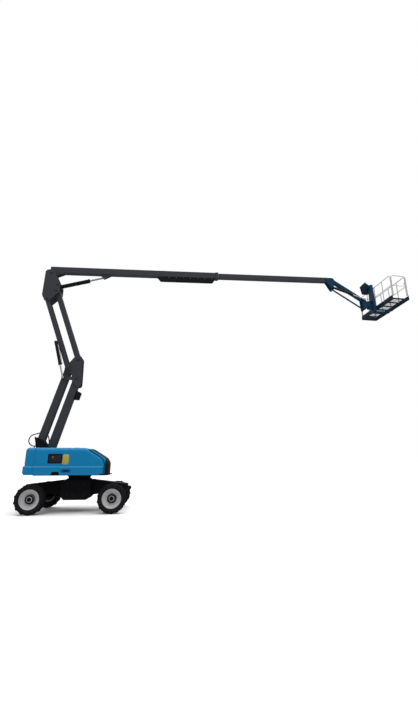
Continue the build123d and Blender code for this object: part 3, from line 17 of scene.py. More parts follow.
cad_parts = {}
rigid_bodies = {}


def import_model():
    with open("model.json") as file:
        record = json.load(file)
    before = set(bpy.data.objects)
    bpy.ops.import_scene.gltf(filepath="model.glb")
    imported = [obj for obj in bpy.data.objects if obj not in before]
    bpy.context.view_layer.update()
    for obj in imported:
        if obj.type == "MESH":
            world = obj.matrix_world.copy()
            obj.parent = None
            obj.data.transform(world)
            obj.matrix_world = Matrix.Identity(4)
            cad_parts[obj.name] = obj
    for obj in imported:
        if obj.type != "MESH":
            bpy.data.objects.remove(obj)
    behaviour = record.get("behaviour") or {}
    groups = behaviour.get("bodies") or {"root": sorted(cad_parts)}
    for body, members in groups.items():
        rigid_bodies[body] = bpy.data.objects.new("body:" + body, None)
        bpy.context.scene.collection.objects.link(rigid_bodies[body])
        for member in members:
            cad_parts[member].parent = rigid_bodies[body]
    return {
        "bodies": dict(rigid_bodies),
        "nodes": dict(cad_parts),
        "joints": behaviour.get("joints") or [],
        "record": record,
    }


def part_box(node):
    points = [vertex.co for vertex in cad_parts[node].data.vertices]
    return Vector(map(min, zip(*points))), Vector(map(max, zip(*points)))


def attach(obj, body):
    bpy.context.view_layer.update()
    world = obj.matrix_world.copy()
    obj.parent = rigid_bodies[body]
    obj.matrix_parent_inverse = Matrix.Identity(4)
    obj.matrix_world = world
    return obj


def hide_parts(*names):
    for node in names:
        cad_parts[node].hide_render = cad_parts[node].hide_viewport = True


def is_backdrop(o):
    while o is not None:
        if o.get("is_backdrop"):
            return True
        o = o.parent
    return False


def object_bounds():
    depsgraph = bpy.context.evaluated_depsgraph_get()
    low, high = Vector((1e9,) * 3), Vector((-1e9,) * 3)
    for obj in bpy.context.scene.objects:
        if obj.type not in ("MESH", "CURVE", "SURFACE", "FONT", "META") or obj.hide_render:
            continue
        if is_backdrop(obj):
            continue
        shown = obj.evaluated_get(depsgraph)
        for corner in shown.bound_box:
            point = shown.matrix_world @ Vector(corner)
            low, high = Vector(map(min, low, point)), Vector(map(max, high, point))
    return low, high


log = logging.getLogger("boom_lift")

Colour = tuple[float, float, float]
Profile = Sequence[tuple[float, float]]
Span = tuple[float, float]
Head = tuple[float, float]  # radius and height of a bolt's head
Socket = bpy.types.NodeSocket
Tree = bpy.types.NodeTree


def vec(x: float, y: float, z: float) -> Vector:
    """Give a point or a direction."""
    return Vector((x, y, z))


WHEELS = ("fixed_near", "fixed_far", "steer_near", "steer_far")
SIDES = (-1.0, 1.0)
ALONG, ACROSS, UP = vec(1.0, 0.0, 0.0), vec(0.0, 1.0, 0.0), vec(0.0, 0.0, 1.0)
BEVEL_ANGLE = math.radians(50)
SHARP_ANGLE = math.radians(32)
SINK = 0.001  # how far most trims are let into what carries them


class Grain(Enum):
    """The fine relief of a finish: noise scale in cycles per metre and depth in metres."""

    ORANGE_PEEL = (260.0, 0.00022)
    CAST = (90.0, 0.0012)
    RUBBER = (420.0, 0.0005)
    MOULDED = (700.0, 0.0003)
    TURNED = (900.0, 0.00008)


@dataclass(frozen=True)
class Finish:
    """How one kind of surface looks.

    Args:
        name: The material's name.
        colour: Linear base colour.
        roughness: Roughness where the surface is clean.
        metallic: 1 for bare metal.
        gloss: Specular level; 0.5 is the usual level of paint and plastic.
        coat: Weight of a clear coat.
        grain: Its fine relief.
        mottle: How far its brightness wanders.
        dust: How much dust lies on what faces up and near the ground.
        scuff: How much of it is rubbed dull.
        wear: How far its edges are rubbed bright.
        flank: Colour of its outer flank, where that differs.
        flank_y: How far out from the middle plane the flank starts.
        flank_x: Where the flank ends, ahead.
    """

    name: str
    colour: Colour
    roughness: float
    metallic: float = 0.0
    gloss: float = 0.25
    coat: float = 0.0
    grain: Grain = Grain.ORANGE_PEEL
    mottle: float = 0.07
    dust: float = 0.08
    scuff: float = 0.1
    wear: float = 0.15
    flank: Colour | None = None
    flank_y: float = 0.0
    flank_x: float = 100.0


HOOD_BLUE: Colour = (0.0, 0.178, 0.385)
RIM_SILVER: Colour = (0.5, 0.5, 0.515)
HOOD_PAINT = Finish("hood_paint", HOOD_BLUE, 0.3, gloss=0.2, coat=0.1, mottle=0.04, dust=0.0, scuff=0.06, wear=0.03)
ARM_PAINT = Finish("arm_paint", (0.036, 0.038, 0.047), 0.48, gloss=0.15, mottle=0.08, dust=0.03, wear=0.22)
CHASSIS_PAINT = Finish("chassis_paint", (0.0065, 0.0065, 0.008), 0.5, gloss=0.08, mottle=0.1, dust=0.02)
NOSE_NEAR = Finish("nose_plastic_near", (0.007, 0.007, 0.008), 0.5, gloss=0.12, grain=Grain.MOULDED, dust=0.02,
                   wear=0.05, flank=HOOD_BLUE, flank_y=1.05, flank_x=0.985)
NOSE_FAR = replace(NOSE_NEAR, name="nose_plastic_far", flank_x=0.725)
FLOOR_PAINT = Finish("floor_paint", (0.007, 0.019, 0.034), 0.5, gloss=0.12, mottle=0.08, dust=0.02, wear=0.2)
JIB_PAINT = Finish("jib_paint", (0.0004, 0.032, 0.074), 0.42, gloss=0.15, dust=0.02)
CONSOLE_PAINT = Finish("console_paint", (0.001, 0.015, 0.033), 0.5, gloss=0.12, grain=Grain.MOULDED, mottle=0.06,
                       dust=0.02)
RAIL_PAINT = Finish("rail_paint", (0.52, 0.53, 0.54), 0.42, mottle=0.05, dust=0.03, wear=0.2)
BARREL_PAINT = Finish("barrel_paint", (0.006, 0.006, 0.007), 0.35, gloss=0.15, mottle=0.08, dust=0.02)
CHROME = Finish("rod_chrome", (0.62, 0.63, 0.65), 0.12, 1.0, grain=Grain.TURNED, mottle=0.03, dust=0.0, scuff=0.03,
                wear=0.0)
RUBBER = Finish("tyre_rubber", (0.0075, 0.0075, 0.0078), 0.8, gloss=0.06, grain=Grain.RUBBER, mottle=0.18,
                dust=0.035, wear=0.1)
# Rims are dark all over except outboard of |y| 1.03, where they are silver.
RIM_DARK_INBOARD = Finish("rim_dark_inboard", (0.012, 0.012, 0.013), 0.4, mottle=0.06, dust=0.03, flank=RIM_SILVER, flank_y=1.03)
CASE_PLASTIC = Finish("case_plastic", (0.014, 0.016, 0.019), 0.55, gloss=0.15, grain=Grain.MOULDED, mottle=0.06)
BATTERY_PLASTIC = Finish("battery_plastic", (0.03, 0.03, 0.032), 0.6, grain=Grain.MOULDED, mottle=0.1, dust=0.2)
ZINC = Finish("zinc_plate", (0.40, 0.40, 0.385), 0.34, 0.9, grain=Grain.TURNED, mottle=0.12, scuff=0.05, wear=0.0)
DARK_STEEL = Finish("dark_steel", (0.022, 0.022, 0.024), 0.45, 0.2, gloss=0.2, grain=Grain.CAST, mottle=0.15,
                    wear=0.25)
NYLON = Finish("wear_nylon", (0.52, 0.50, 0.44), 0.5, grain=Grain.MOULDED, mottle=0.05, wear=0.0)
PLATE_YELLOW = Finish("plate_yellow", (0.40, 0.33, 0.045), 0.45, mottle=0.05, dust=0.02, scuff=0.05, wear=0.05)
BUTTON_RED = Finish("button_red", (0.42, 0.012, 0.01), 0.3, coat=0.2, grain=Grain.MOULDED, dust=0.02, wear=0.0)
SCREEN_GLASS = Finish("screen_glass", (0.012, 0.02, 0.024), 0.08, gloss=0.5, grain=Grain.TURNED, dust=0.02, wear=0.0)
SEAL_RUBBER = Finish("seal_rubber", (0.005, 0.005, 0.005), 0.7, gloss=0.08, grain=Grain.RUBBER, dust=0.02, wear=0.0)
HOSE_RUBBER = Finish("hose_rubber", (0.006, 0.006, 0.007), 0.6, gloss=0.1, grain=Grain.RUBBER, mottle=0.12, wear=0.0)
DUST_COLOUR: Colour = (0.30, 0.27, 0.23)
BARE_METAL: Colour = (0.36, 0.36, 0.37)


class NodeKit:
    """Adds nodes to one shader tree and links them up."""

    MIX_A, MIX_B, MIX_RESULT = 6, 7, 2  # a mix node's colour sockets, by number

    def __init__(self, tree: Tree) -> None:
        """Take the tree that the nodes go into."""
        self.tree = tree

    def feed(self, socket: Socket, value: Any) -> None:
        """Link a socket to another one's output, or set it to a constant.

        Args:
            socket: The socket to fill.
            value: The other socket or the constant.
        """
        if isinstance(value, Socket):
            self.tree.links.new(value, socket)
        else:
            socket.default_value = value

    def node(self, kind: str, inputs: dict[str | int, Any] | None = None, **settings: Any) -> bpy.types.Node:
        """Add a node.

        Args:
            kind: Its type, without the prefix that all shader nodes share.
            inputs: What goes into its sockets, by name or number.
            settings: Its properties.

        Returns:
            The new node.
        """
        node = self.tree.nodes.new(f"ShaderNode{kind}")
        for name, value in settings.items():
            setattr(node, name, value)
        for key, value in (inputs or {}).items():
            self.feed(node.inputs[key], value)
        return node

    def sum(self, operation: str, *terms: Any, clamp: bool = False) -> Socket:
        """Add a math node and give its result."""
        return self.node("Math", dict(enumerate(terms)), operation=operation, use_clamp=clamp).outputs["Value"]

    def remap(self, value: Any, start: Span = (0.0, 1.0), end: tuple[Any, Any] = (0.0, 1.0)) -> Socket:
        """Take a value from one range to another and give the result."""
        inputs = {"Value": value, "From Min": start[0], "From Max": start[1], "To Min": end[0], "To Max": end[1]}
        return self.node("MapRange", inputs).outputs["Result"]

    def parts(self, vector: Socket) -> bpy.types.NodeOutputs:
        """Split a vector into X, Y and Z."""
        return self.node("SeparateXYZ", {0: vector}).outputs

    def blend(self, share: Any, first: Any, second: Any) -> Socket:
        """Mix two colours and give the result."""
        inputs = {"Factor": share, self.MIX_A: first, self.MIX_B: second}
        return self.node("Mix", inputs, data_type="RGBA").outputs[self.MIX_RESULT]


class EffectKit(NodeKit):
    """A node group in the making; every group reads a place, named Vector."""

    def __init__(self, name: str, inputs: dict[str, str], outputs: dict[str, str]) -> None:
        """Open the group with its sockets.

        Args:
            name: The group's name.
            inputs: Names of the other sockets that go in, with their types.
            outputs: Names of the sockets that come out, with their types.
        """
        super().__init__(bpy.data.node_groups.new(name, "ShaderNodeTree"))
        for label, kind in {"Vector": "Vector", **inputs}.items():
            self.tree.interface.new_socket(label, in_out="INPUT", socket_type=f"NodeSocket{kind}")
        for label, kind in outputs.items():
            self.tree.interface.new_socket(label, in_out="OUTPUT", socket_type=f"NodeSocket{kind}")
        self.source = self.tree.nodes.new("NodeGroupInput").outputs
        self.sink = self.tree.nodes.new("NodeGroupOutput").inputs

    def noise(self, scale: Any, detail: float) -> Socket:
        """Add a noise of so many cycles per metre and octaves and give its value."""
        inputs = {"Scale": scale, "Detail": detail, "Vector": self.source["Vector"]}
        return self.node("TexNoise", inputs).outputs["Fac"]

    def cover(self, share: Socket, patch: Socket, colour: Colour) -> Socket:
        """Lay a colour over the group's own in broken patches and give that out.

        Args:
            share: Where it may lie.
            patch: How it is broken up.
            colour: The colour laid over.

        Returns:
            The mask of where it lies.
        """
        mask = self.sum("MULTIPLY", self.sum("MULTIPLY", share, patch), self.source["Amount"], clamp=True)
        self.feed(self.sink["Colour"], self.blend(mask, self.source["Colour"], (*colour, 1.0)))
        return mask


class Effects:
    """Shader node groups that every finish shares.

    A noise is given as its cycles per metre and its octaves.
    """

    TINTED = {"Colour": "Color", "Amount": "Float"}
    BROAD, SPECKS, DIRT, CHIPS = (1.7, 3.0), (23.0, 4.0), (7.0, 6.0), (31.0, 5.0)
    SPECK_SHARE, SWING = 0.45, 4.0
    FACING_UP, NEAR_GROUND, DIRT_RANGE = (0.55, 1.0), (0.75, 0.0), (0.35, 0.7)
    TOP_SHARE = 0.7
    EDGE_RADIUS, EDGE_SAMPLES = 0.008, 4
    EDGE_BEND, CHIP_RANGE = (0.985, 0.8), (0.45, 0.6)
    GRAIN_OCTAVES, GRAIN_STRENGTH = 3.0, 0.6

    def __init__(self) -> None:
        """Make the groups."""
        self.mottle = self._mottle()
        self.dust = self._dust()
        self.grain = self._grain()
        self.wear = self._wear()
        self.flank = self._flank()

    def _mottle(self) -> Tree:
        """Make the group that lets a colour wander in brightness, in broad patches and fine specks.

        Returns:
            The group.
        """
        kit = EffectKit("Mottle", self.TINTED, {"Colour": "Color", "Patch": "Float"})
        noises = {"Factor": self.SPECK_SHARE, "A": kit.noise(*self.BROAD), "B": kit.noise(*self.SPECKS)}
        mean = kit.node("Mix", noises).outputs["Result"]
        swing = kit.sum("MULTIPLY_ADD", mean, self.SWING, -self.SWING / 2)
        gain = kit.sum("MULTIPLY_ADD", swing, kit.source["Amount"], 1.0)
        tint = kit.node("VectorMath", {0: kit.source["Colour"], "Scale": gain}, operation="SCALE")
        kit.feed(kit.sink["Colour"], tint.outputs["Vector"])
        kit.feed(kit.sink["Patch"], mean)
        return kit.tree

    def _dust(self) -> Tree:
        """Make the group that lays pale dust on what faces up and grime on what is near the ground.

        Returns:
            The group.
        """
        kit = EffectKit("Dust", self.TINTED, {"Colour": "Color", "Mask": "Float"})
        facing = kit.parts(kit.node("NewGeometry").outputs["Normal"])["Z"]
        top = kit.remap(facing, self.FACING_UP, (0.0, self.TOP_SHARE))
        low = kit.remap(kit.parts(kit.source["Vector"])["Z"], self.NEAR_GROUND)
        patch = kit.remap(kit.noise(*self.DIRT), self.DIRT_RANGE)
        kit.feed(kit.sink["Mask"], kit.cover(kit.sum("MAXIMUM", top, low), patch, DUST_COLOUR))
        return kit.tree

    def _wear(self) -> Tree:
        """Make the group that rubs the sharp edges of a finish bright, in broken patches.

        Returns:
            The group.
        """
        kit = EffectKit("Wear", self.TINTED, {"Colour": "Color"})
        soft = kit.node("Bevel", {"Radius": self.EDGE_RADIUS}, samples=self.EDGE_SAMPLES).outputs["Normal"]
        sharp = kit.node("NewGeometry").outputs["Normal"]
        bend = kit.node("VectorMath", {0: soft, 1: sharp}, operation="DOT_PRODUCT").outputs["Value"]
        patch = kit.remap(kit.noise(*self.CHIPS), self.CHIP_RANGE)
        kit.cover(kit.remap(bend, self.EDGE_BEND), patch, BARE_METAL)
        return kit.tree

    @staticmethod
    def _flank() -> Tree:
        """Make the group that gives a second colour to what lies far out from the middle plane.

        Returns:
            The group.
        """
        inputs = {"Colour": "Color", "Flank": "Color", "Out": "Float", "Ahead": "Float"}
        kit = EffectKit("Flank", inputs, {"Colour": "Color"})
        place = kit.parts(kit.source["Vector"])
        outer = kit.sum("GREATER_THAN", kit.sum("ABSOLUTE", place["Y"]), kit.source["Out"])
        behind = kit.sum("LESS_THAN", place["X"], kit.source["Ahead"])
        both = kit.sum("MULTIPLY", outer, behind)
        kit.feed(kit.sink["Colour"], kit.blend(both, kit.source["Colour"], kit.source["Flank"]))
        return kit.tree

    def _grain(self) -> Tree:
        """Make the group that gives a surface its fine relief.

        Returns:
            The group.
        """
        kit = EffectKit("Grain", {"Scale": "Float", "Depth": "Float"}, {"Normal": "Vector"})
        noise = kit.noise(kit.source["Scale"], self.GRAIN_OCTAVES)
        relief = {"Strength": self.GRAIN_STRENGTH, "Height": noise, "Distance": kit.source["Depth"]}
        kit.feed(kit.sink["Normal"], kit.node("Bump", relief).outputs["Normal"])
        return kit.tree


class PaintShop:
    """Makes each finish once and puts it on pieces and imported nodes."""

    RUBBED: Span = (0.4, 0.62)
    DUST_ROUGHNESS = 0.5

    def __init__(self) -> None:
        """Start with the effects and no finish made."""
        self.effects = Effects()
        self.made: dict[str, bpy.types.Material] = {}

    def material(self, finish: Finish) -> bpy.types.Material:
        """Give the material of a finish, made the first time it is asked for.

        Args:
            finish: The finish wanted.

        Returns:
            Its material.
        """
        if finish.name not in self.made:
            self.made[finish.name] = self._make(finish)
        return self.made[finish.name]

    def _make(self, finish: Finish) -> bpy.types.Material:
        """Build a finish's nodes.

        Args:
            finish: The finish to build.

        Returns:
            The new material.
        """
        material = bpy.data.materials.new(finish.name)
        material.use_nodes = True
        kit, effects = NodeKit(material.node_tree), self.effects
        shader = kit.tree.nodes["Principled BSDF"].inputs
        place = kit.node("TexCoord").outputs["Object"]

        def effect(tree: Tree, **inputs: Any) -> bpy.types.NodeOutputs:
            """Place an effect with what goes into it and give its outputs."""
            return kit.node("Group", {"Vector": place, **inputs}, node_tree=tree).outputs

        colour: Any = (*finish.colour, 1.0)
        if finish.flank:
            colour = effect(effects.flank, Colour=colour, Flank=(*finish.flank, 1.0), Out=finish.flank_y,
                            Ahead=finish.flank_x)["Colour"]
        mottle = effect(effects.mottle, Colour=colour, Amount=finish.mottle)
        wear = effect(effects.wear, Colour=mottle["Colour"], Amount=finish.wear)
        dust = effect(effects.dust, Colour=wear["Colour"], Amount=finish.dust)
        rub = kit.remap(mottle["Patch"], self.RUBBED, (finish.roughness, min(1.0, finish.roughness + finish.scuff)))
        scale, depth = finish.grain.value
        sockets = {
            "Metallic": finish.metallic, "Coat Weight": finish.coat, "Specular IOR Level": finish.gloss,
            "Base Color": dust["Colour"],
            "Roughness": kit.sum("MULTIPLY_ADD", dust["Mask"], self.DUST_ROUGHNESS, rub, clamp=True),
            "Normal": effect(effects.grain, Scale=scale, Depth=depth)["Normal"],
        }
        for name, value in sockets.items():
            kit.feed(shader[name], value)
        return material

    def paint(self, obj: bpy.types.Object, finish: Finish) -> None:
        """Give an object one finish all over."""
        obj.data.materials.clear()
        obj.data.materials.append(self.material(finish))


class Shape:
    """A piece under construction, in the machine's frame.

    Args:
        shop: Where its finish is made.
    """

    def __init__(self, shop: PaintShop) -> None:
        """Start with an empty mesh."""
        self.shop = shop
        self.bm = bmesh.new()

    @staticmethod
    def _stand(start: Vector, axis: Vector) -> Matrix:
        """Matrix that takes local Z to an axis through a point."""
        return Matrix.Translation(start) @ axis.to_track_quat("Z", "Y").to_matrix().to_4x4()

    def _round(self, verts: Sequence[bmesh.types.BMVert], offset: float, segments: int = 2) -> None:
        """Bevel the sharp edges among some vertices.

        Args:
            verts: Vertices of the shape to bevel.
            offset: Width of the bevel.
            segments: Steps across it.
        """
        mine = set(verts)
        edges = {e for v in mine for e in v.link_edges if e.other_vert(v) in mine}
        sharp = [e for e in edges if len(e.link_faces) == 2 and e.calc_face_angle() > BEVEL_ANGLE]
        bmesh.ops.bevel(
            self.bm, geom=sharp, offset=offset, offset_type="OFFSET", affect="EDGES", segments=segments,
            profile=0.5, material=-1, clamp_overlap=True,
        )

    def block(self, low: Vector, high: Vector, bevel: float = 0.0, turn: Matrix | None = None) -> None:
        """Add a box between two corners.

        Args:
            low: One corner.
            high: The opposite corner.
            bevel: Width of its rounded edges.
            turn: A placement applied after it is sized.
        """
        matrix = Matrix.Translation((low + high) / 2) @ Matrix.Diagonal((*(high - low), 1.0))
        made = bmesh.ops.create_cube(self.bm, size=1.0, matrix=turn @ matrix if turn else matrix)
        if bevel > 0:
            self._round(made["verts"], bevel)

    def rod(self, start: Vector, end: Vector, radius: float, tip: float | None = None, segments: int = 24,
            bevel: float = 0.0) -> None:
        """Add a round bar, taper or hexagon between two points.

        Args:
            start: Centre of its first end.
            end: Centre of its other end.
            radius: Radius at the start.
            tip: Radius at the end, where it differs.
            segments: Sides; six make a hexagon.
            bevel: Width of its rounded rims.
        """
        run = end - start
        made = bmesh.ops.create_cone(
            self.bm, cap_ends=True, segments=segments, radius1=radius, radius2=radius if tip is None else tip,
            depth=run.length, matrix=self._stand((start + end) / 2, run),
        )
        if bevel > 0:
            self._round(made["verts"], bevel, 1)

    def bolt(self, seat: Vector, axis: Vector, radius: float, height: float) -> None:
        """Add a washer and a hexagon head on a face.

        Args:
            seat: Point on the face.
            axis: Direction out of the face.
            radius: Radius of the head across its corners.
            height: Height of the head.
        """
        out = axis.normalized()
        top = seat + out * (height * 0.22)
        self.rod(seat, top, radius * 1.3, segments=20)
        self.rod(top, top + out * height, radius, segments=6, bevel=height * 0.1)

    def bolt_circle(self, centre: Vector, axis: Vector, pitch: float, count: int, radius: float, height: float,
                    start: float = 0.0) -> None:
        """Add bolts evenly round a circle.

        Args:
            centre: The circle's centre, on the face.
            axis: Direction out of the face.
            pitch: The circle's radius.
            count: Number of bolts.
            radius: Radius of a head.
            height: Height of a head.
            start: Angle of the first bolt, in degrees.
        """
        frame = self._stand(centre, axis)
        for step in range(count):
            angle = math.radians(start) + step * math.tau / count
            self.bolt(frame @ vec(pitch * math.cos(angle), pitch * math.sin(angle), 0.0), axis, radius, height)

    def lathe(self, profile: Profile, centre: Vector, axis: Vector, steps: int = 48) -> None:
        """Turn a profile about an axis.

        Args:
            profile: Points as (distance along the axis, radius).
            centre: Point of the axis that distances start from.
            axis: Direction of the axis.
            steps: Steps of a full turn.
        """
        frame = self._stand(centre, axis)
        verts = [self.bm.verts.new(frame @ vec(r, 0.0, d)) for d, r in profile]
        edges = [self.bm.edges.new(pair) for pair in zip(verts, verts[1:])]
        bmesh.ops.spin(
            self.bm, geom=[*verts, *edges], cent=centre, axis=axis.normalized(), dvec=(0, 0, 0),
            angle=math.tau, steps=steps, use_merge=True, use_normal_flip=False, use_duplicate=False,
        )

    def ring(self, centre: Vector, axis: Vector, major: float, minor: float) -> None:
        """Add a round ring.

        Args:
            centre: Its middle.
            axis: Direction through its hole.
            major: Radius of its centre line.
            minor: Radius of its bar.
        """
        sides, steps = 10, 32
        turns = [step * math.tau / sides for step in range(sides + 1)]
        self.lathe([(minor * math.sin(t), major + minor * math.cos(t)) for t in turns], centre, axis, steps)

    def _sheet(self, outline: Sequence[Vector], corner: float) -> list[bmesh.types.BMFace]:
        """Make a flat face with rounded corners.

        Args:
            outline: Its corners in order.
            corner: How far each corner is rounded.

        Returns:
            The new face, in a list.
        """
        before = set(self.bm.faces)
        face = self.bm.faces.new([self.bm.verts.new(point) for point in outline])
        if corner > 0:
            bmesh.ops.bevel(
                self.bm, geom=list(face.verts), offset=corner, offset_type="OFFSET", affect="VERTICES", segments=5,
                profile=0.5, material=-1,
            )
        return [face for face in self.bm.faces if face not in before]

    def _thicken(self, faces: Sequence[bmesh.types.BMFace], thickness: Vector, bevel: float) -> None:
        """Give faces a thickness and round its edges.

        Args:
            faces: Faces to thicken.
            thickness: Direction and length of the thickness.
            bevel: Width of the rounded edges.
        """
        first = {v for face in faces for v in face.verts}
        made = bmesh.ops.extrude_face_region(self.bm, geom=list(faces), use_keep_orig=True)
        moved = [v for v in made["geom"] if isinstance(v, bmesh.types.BMVert)]
        bmesh.ops.translate(self.bm, verts=moved, vec=thickness)
        if bevel > 0:
            self._round([*moved, *first], bevel)

    def plate(self, outline: Sequence[Vector], thickness: Vector, bevel: float = 0.0, corner: float = 0.0) -> None:
        """Add a flat plate.

        Args:
            outline: Its corners in order.
            thickness: Direction and length of its thickness.
            bevel: Width of its rounded edges.
            corner: How far each corner of its outline is rounded.
        """
        self._thicken(self._sheet(outline, corner), thickness, bevel)

    def border(self, outline: Sequence[Vector], width: float, thickness: Vector, bevel: float = 0.0,
               corner: float = 0.0) -> None:
        """Add a flat frame, open in the middle.

        Args:
            outline: Its outer corners in order.
            width: Width of its bars.
            thickness: Direction and length of its thickness.
            bevel: Width of its rounded edges.
            corner: How far each outer corner is rounded.
        """
        middle = self._sheet(outline, corner)
        made = bmesh.ops.inset_region(self.bm, faces=middle, thickness=width, use_even_offset=True, use_boundary=True)
        bmesh.ops.delete(self.bm, geom=middle, context="FACES")
        self._thicken(made["faces"], thickness, bevel)

    def piece(self, name: str, finish: Finish, body: str, slot: str = "frame_black") -> bpy.types.Object:
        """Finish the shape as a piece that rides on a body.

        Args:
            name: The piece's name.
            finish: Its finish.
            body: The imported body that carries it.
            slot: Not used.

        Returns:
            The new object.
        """
        bmesh.ops.remove_doubles(self.bm, verts=self.bm.verts, dist=1e-6)
        bmesh.ops.recalc_face_normals(self.bm, faces=self.bm.faces)
        mesh = bpy.data.meshes.new(name)
        self.bm.to_mesh(mesh)
        self.bm.free()
        mesh.shade_smooth()
        mesh.set_sharp_from_angle(angle=SHARP_ANGLE)
        mesh.materials.append(self.shop.material(finish))
        obj = bpy.data.objects.new(name, mesh)
        bpy.context.scene.collection.objects.link(obj)
        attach(obj, body)
        log.info("piece %s on %s, %d faces", name, body, len(mesh.polygons))
        return obj


class Machine:
    """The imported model: its nodes, bodies and pivots."""

    NODE_FINISHES: dict[Finish, tuple[str, ...]] = {
        HOOD_PAINT: ("hood_near", "hood_far", "counterweight"),
        ARM_PAINT: ("lower_arm", "lower_link", "mid_knuckle", "upper_arm", "upper_link", "top_knuckle",
                    "boom_outer", "boom_inner"),
        CHASSIS_PAINT: ("chassis_frame", "axle_fixed", "axle_steer", "slew_ring", "turntable_base", "knuckle_near",
                        "knuckle_far", "tie_rod", "cable_tray", "valve_box"),
        NOSE_NEAR: ("hood_nose_near",),
        NOSE_FAR: ("hood_nose_far",),
        JIB_PAINT: ("jib_base", "jib_beam", "jib_link", "jib_end", "platform_support"),
        FLOOR_PAINT: ("platform_floor",),
        RAIL_PAINT: ("rail_front", "rail_rear", "rail_end", "platform_gate"),
        BARREL_PAINT: ("lift_barrel", "riser_barrel", "jib_barrel"),
        CHROME: ("lift_rod", "riser_rod", "jib_rod"),
        RUBBER: tuple(f"tyre_{wheel}" for wheel in WHEELS),
        RIM_DARK_INBOARD: tuple(f"rim_{wheel}" for wheel in WHEELS),
        CASE_PLASTIC: ("ground_control",),
        CONSOLE_PAINT: ("control_box",),
        BATTERY_PLASTIC: ("battery_block",),
    }

    def __init__(self) -> None:
        """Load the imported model."""
        self.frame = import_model()
        self.cad_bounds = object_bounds()
        self.joints = {joint["name"]: joint for joint in self.frame["joints"]}

    def pivot(self, joint: str) -> Vector:
        """Give the point that a joint turns about."""
        return Vector(self.joints[joint]["pos_m"])

    def paint(self, shop: PaintShop) -> None:
        """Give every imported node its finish.

        Args:
            shop: Where the finishes are made.
        """
        for finish, names in self.NODE_FINISHES.items():
            for name in names:
                shop.paint(self.frame["nodes"][name], finish)

    def write_sizes(self) -> None:
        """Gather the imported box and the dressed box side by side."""
        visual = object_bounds()
        sizes = {"cad": [list(corner) for corner in self.cad_bounds], "visual": [list(corner) for corner in visual]}


@dataclass
class Studio:
    """Pale floor, soft light and the camera at the photograph's angle."""

    camera_place: Vector = vec(2.631, -14.099, 1.592)
    camera_yaw: float = 0.143
    camera_pitch: float = 0.277
    lens: float = 18.11
    sensor: float = 36.0
    floor_half: float = 400.0
    floor_tone: float = 0.6
    floor_seen: float = 0.9
    floor_shine: float = 0.15
    world_low: float = 0.15
    world_high: float = 1.5
    key_strength: float = 1.5
    key_spread: float = 70.0
    key_turn: Span = (8.0, 10.0)

    def build(self) -> None:
        """Make the floor, the world, the lamp and the camera."""
        bpy.context.scene.view_settings.view_transform = "Standard"
        self._floor()
        self._world()
        self._lamp()
        self._camera()

    @staticmethod
    def _add(name: str, data: bpy.types.ID) -> bpy.types.Object:
        """Put an object into the scene.

        Args:
            name: Its name.
            data: Its mesh, lamp or camera.

        Returns:
            The new object.
        """
        obj = bpy.data.objects.new(name, data)
        bpy.context.scene.collection.objects.link(obj)
        return obj

    def _floor(self) -> None:
        """Lay a wide pale floor that keeps the machine's shadow and runs out to white for the camera."""
        bm = bmesh.new()
        bmesh.ops.create_grid(bm, x_segments=1, y_segments=1, size=self.floor_half)
        mesh = bpy.data.meshes.new("floor")
        bm.to_mesh(mesh)
        bm.free()
        floor = self._add("floor", mesh)
        material = bpy.data.materials.new("pale_floor")
        material.use_nodes = True
        kit = NodeKit(material.node_tree)
        kit.tree.nodes.remove(kit.tree.nodes["Principled BSDF"])
        path = kit.node("LightPath").outputs
        dim = kit.remap(path["Is Glossy Ray"], end=(self.floor_tone, self.floor_shine))
        tone = kit.remap(path["Is Camera Ray"], end=(dim, self.floor_seen))
        matt = kit.node("BsdfDiffuse", {"Color": tone}).outputs["BSDF"]
        kit.feed(kit.tree.nodes["Material Output"].inputs["Surface"], matt)
        mesh.materials.append(material)
        floor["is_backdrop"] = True

    def _world(self) -> None:
        """Light softly from all round, most from above, with a white backdrop for the camera."""
        world = bpy.data.worlds.new("studio")
        world.use_nodes = True
        bpy.context.scene.world = world
        kit = NodeKit(world.node_tree)
        height = kit.parts(kit.node("TexCoord").outputs["Generated"])["Z"]
        dome = kit.remap(height, end=(self.world_low, self.world_high))
        backdrop = kit.tree.nodes["Background"].inputs
        kit.feed(backdrop["Color"], (1.0, 1.0, 1.0, 1.0))
        kit.feed(backdrop["Strength"], kit.remap(kit.node("LightPath").outputs["Is Camera Ray"], end=(dome, 1.0)))

    def _lamp(self) -> None:
        """Hang a broad sun lamp overhead."""
        light = bpy.data.lights.new("key_lamp", "SUN")
        light.energy = self.key_strength
        light.angle = math.radians(self.key_spread)
        self._add("key_lamp", light).rotation_euler = (*map(math.radians, self.key_turn), 0.0)

    def _camera(self) -> None:
        """Stand the camera where the photograph was taken from."""
        level = math.cos(self.camera_pitch)
        ahead = vec(math.sin(self.camera_yaw) * level, math.cos(self.camera_yaw) * level, math.sin(self.camera_pitch))
        data = bpy.data.cameras.new("photo_camera")
        data.lens = self.lens
        data.sensor_width = self.sensor
        data.clip_end = 4 * self.floor_half
        camera = self._add("photo_camera", data)
        camera.location = self.camera_place
        camera.rotation_mode = "QUATERNION"
        camera.rotation_quaternion = ahead.to_track_quat("-Z", "Y")
        bpy.context.scene.camera = camera


def side_outline(x: Span, z: Span, y: float) -> list[Vector]:
    """Give the corners of an upright rectangle that faces sideways.

    Args:
        x: Its ends along the machine.
        z: Its bottom and top.
        y: Where it stands across the machine.

    Returns:
        Its four corners in order.
    """
    return [vec(x[0], y, z[0]), vec(x[1], y, z[0]), vec(x[1], y, z[1]), vec(x[0], y, z[1])]


def spread(span: Span, count: int, inset: float = 0.0) -> list[float]:
    """Give so many places spread evenly over a span, the first and last a little inside its ends."""
    step = (span[1] - span[0] - 2 * inset) / (count - 1)
    return [span[0] + inset + i * step for i in range(count)]


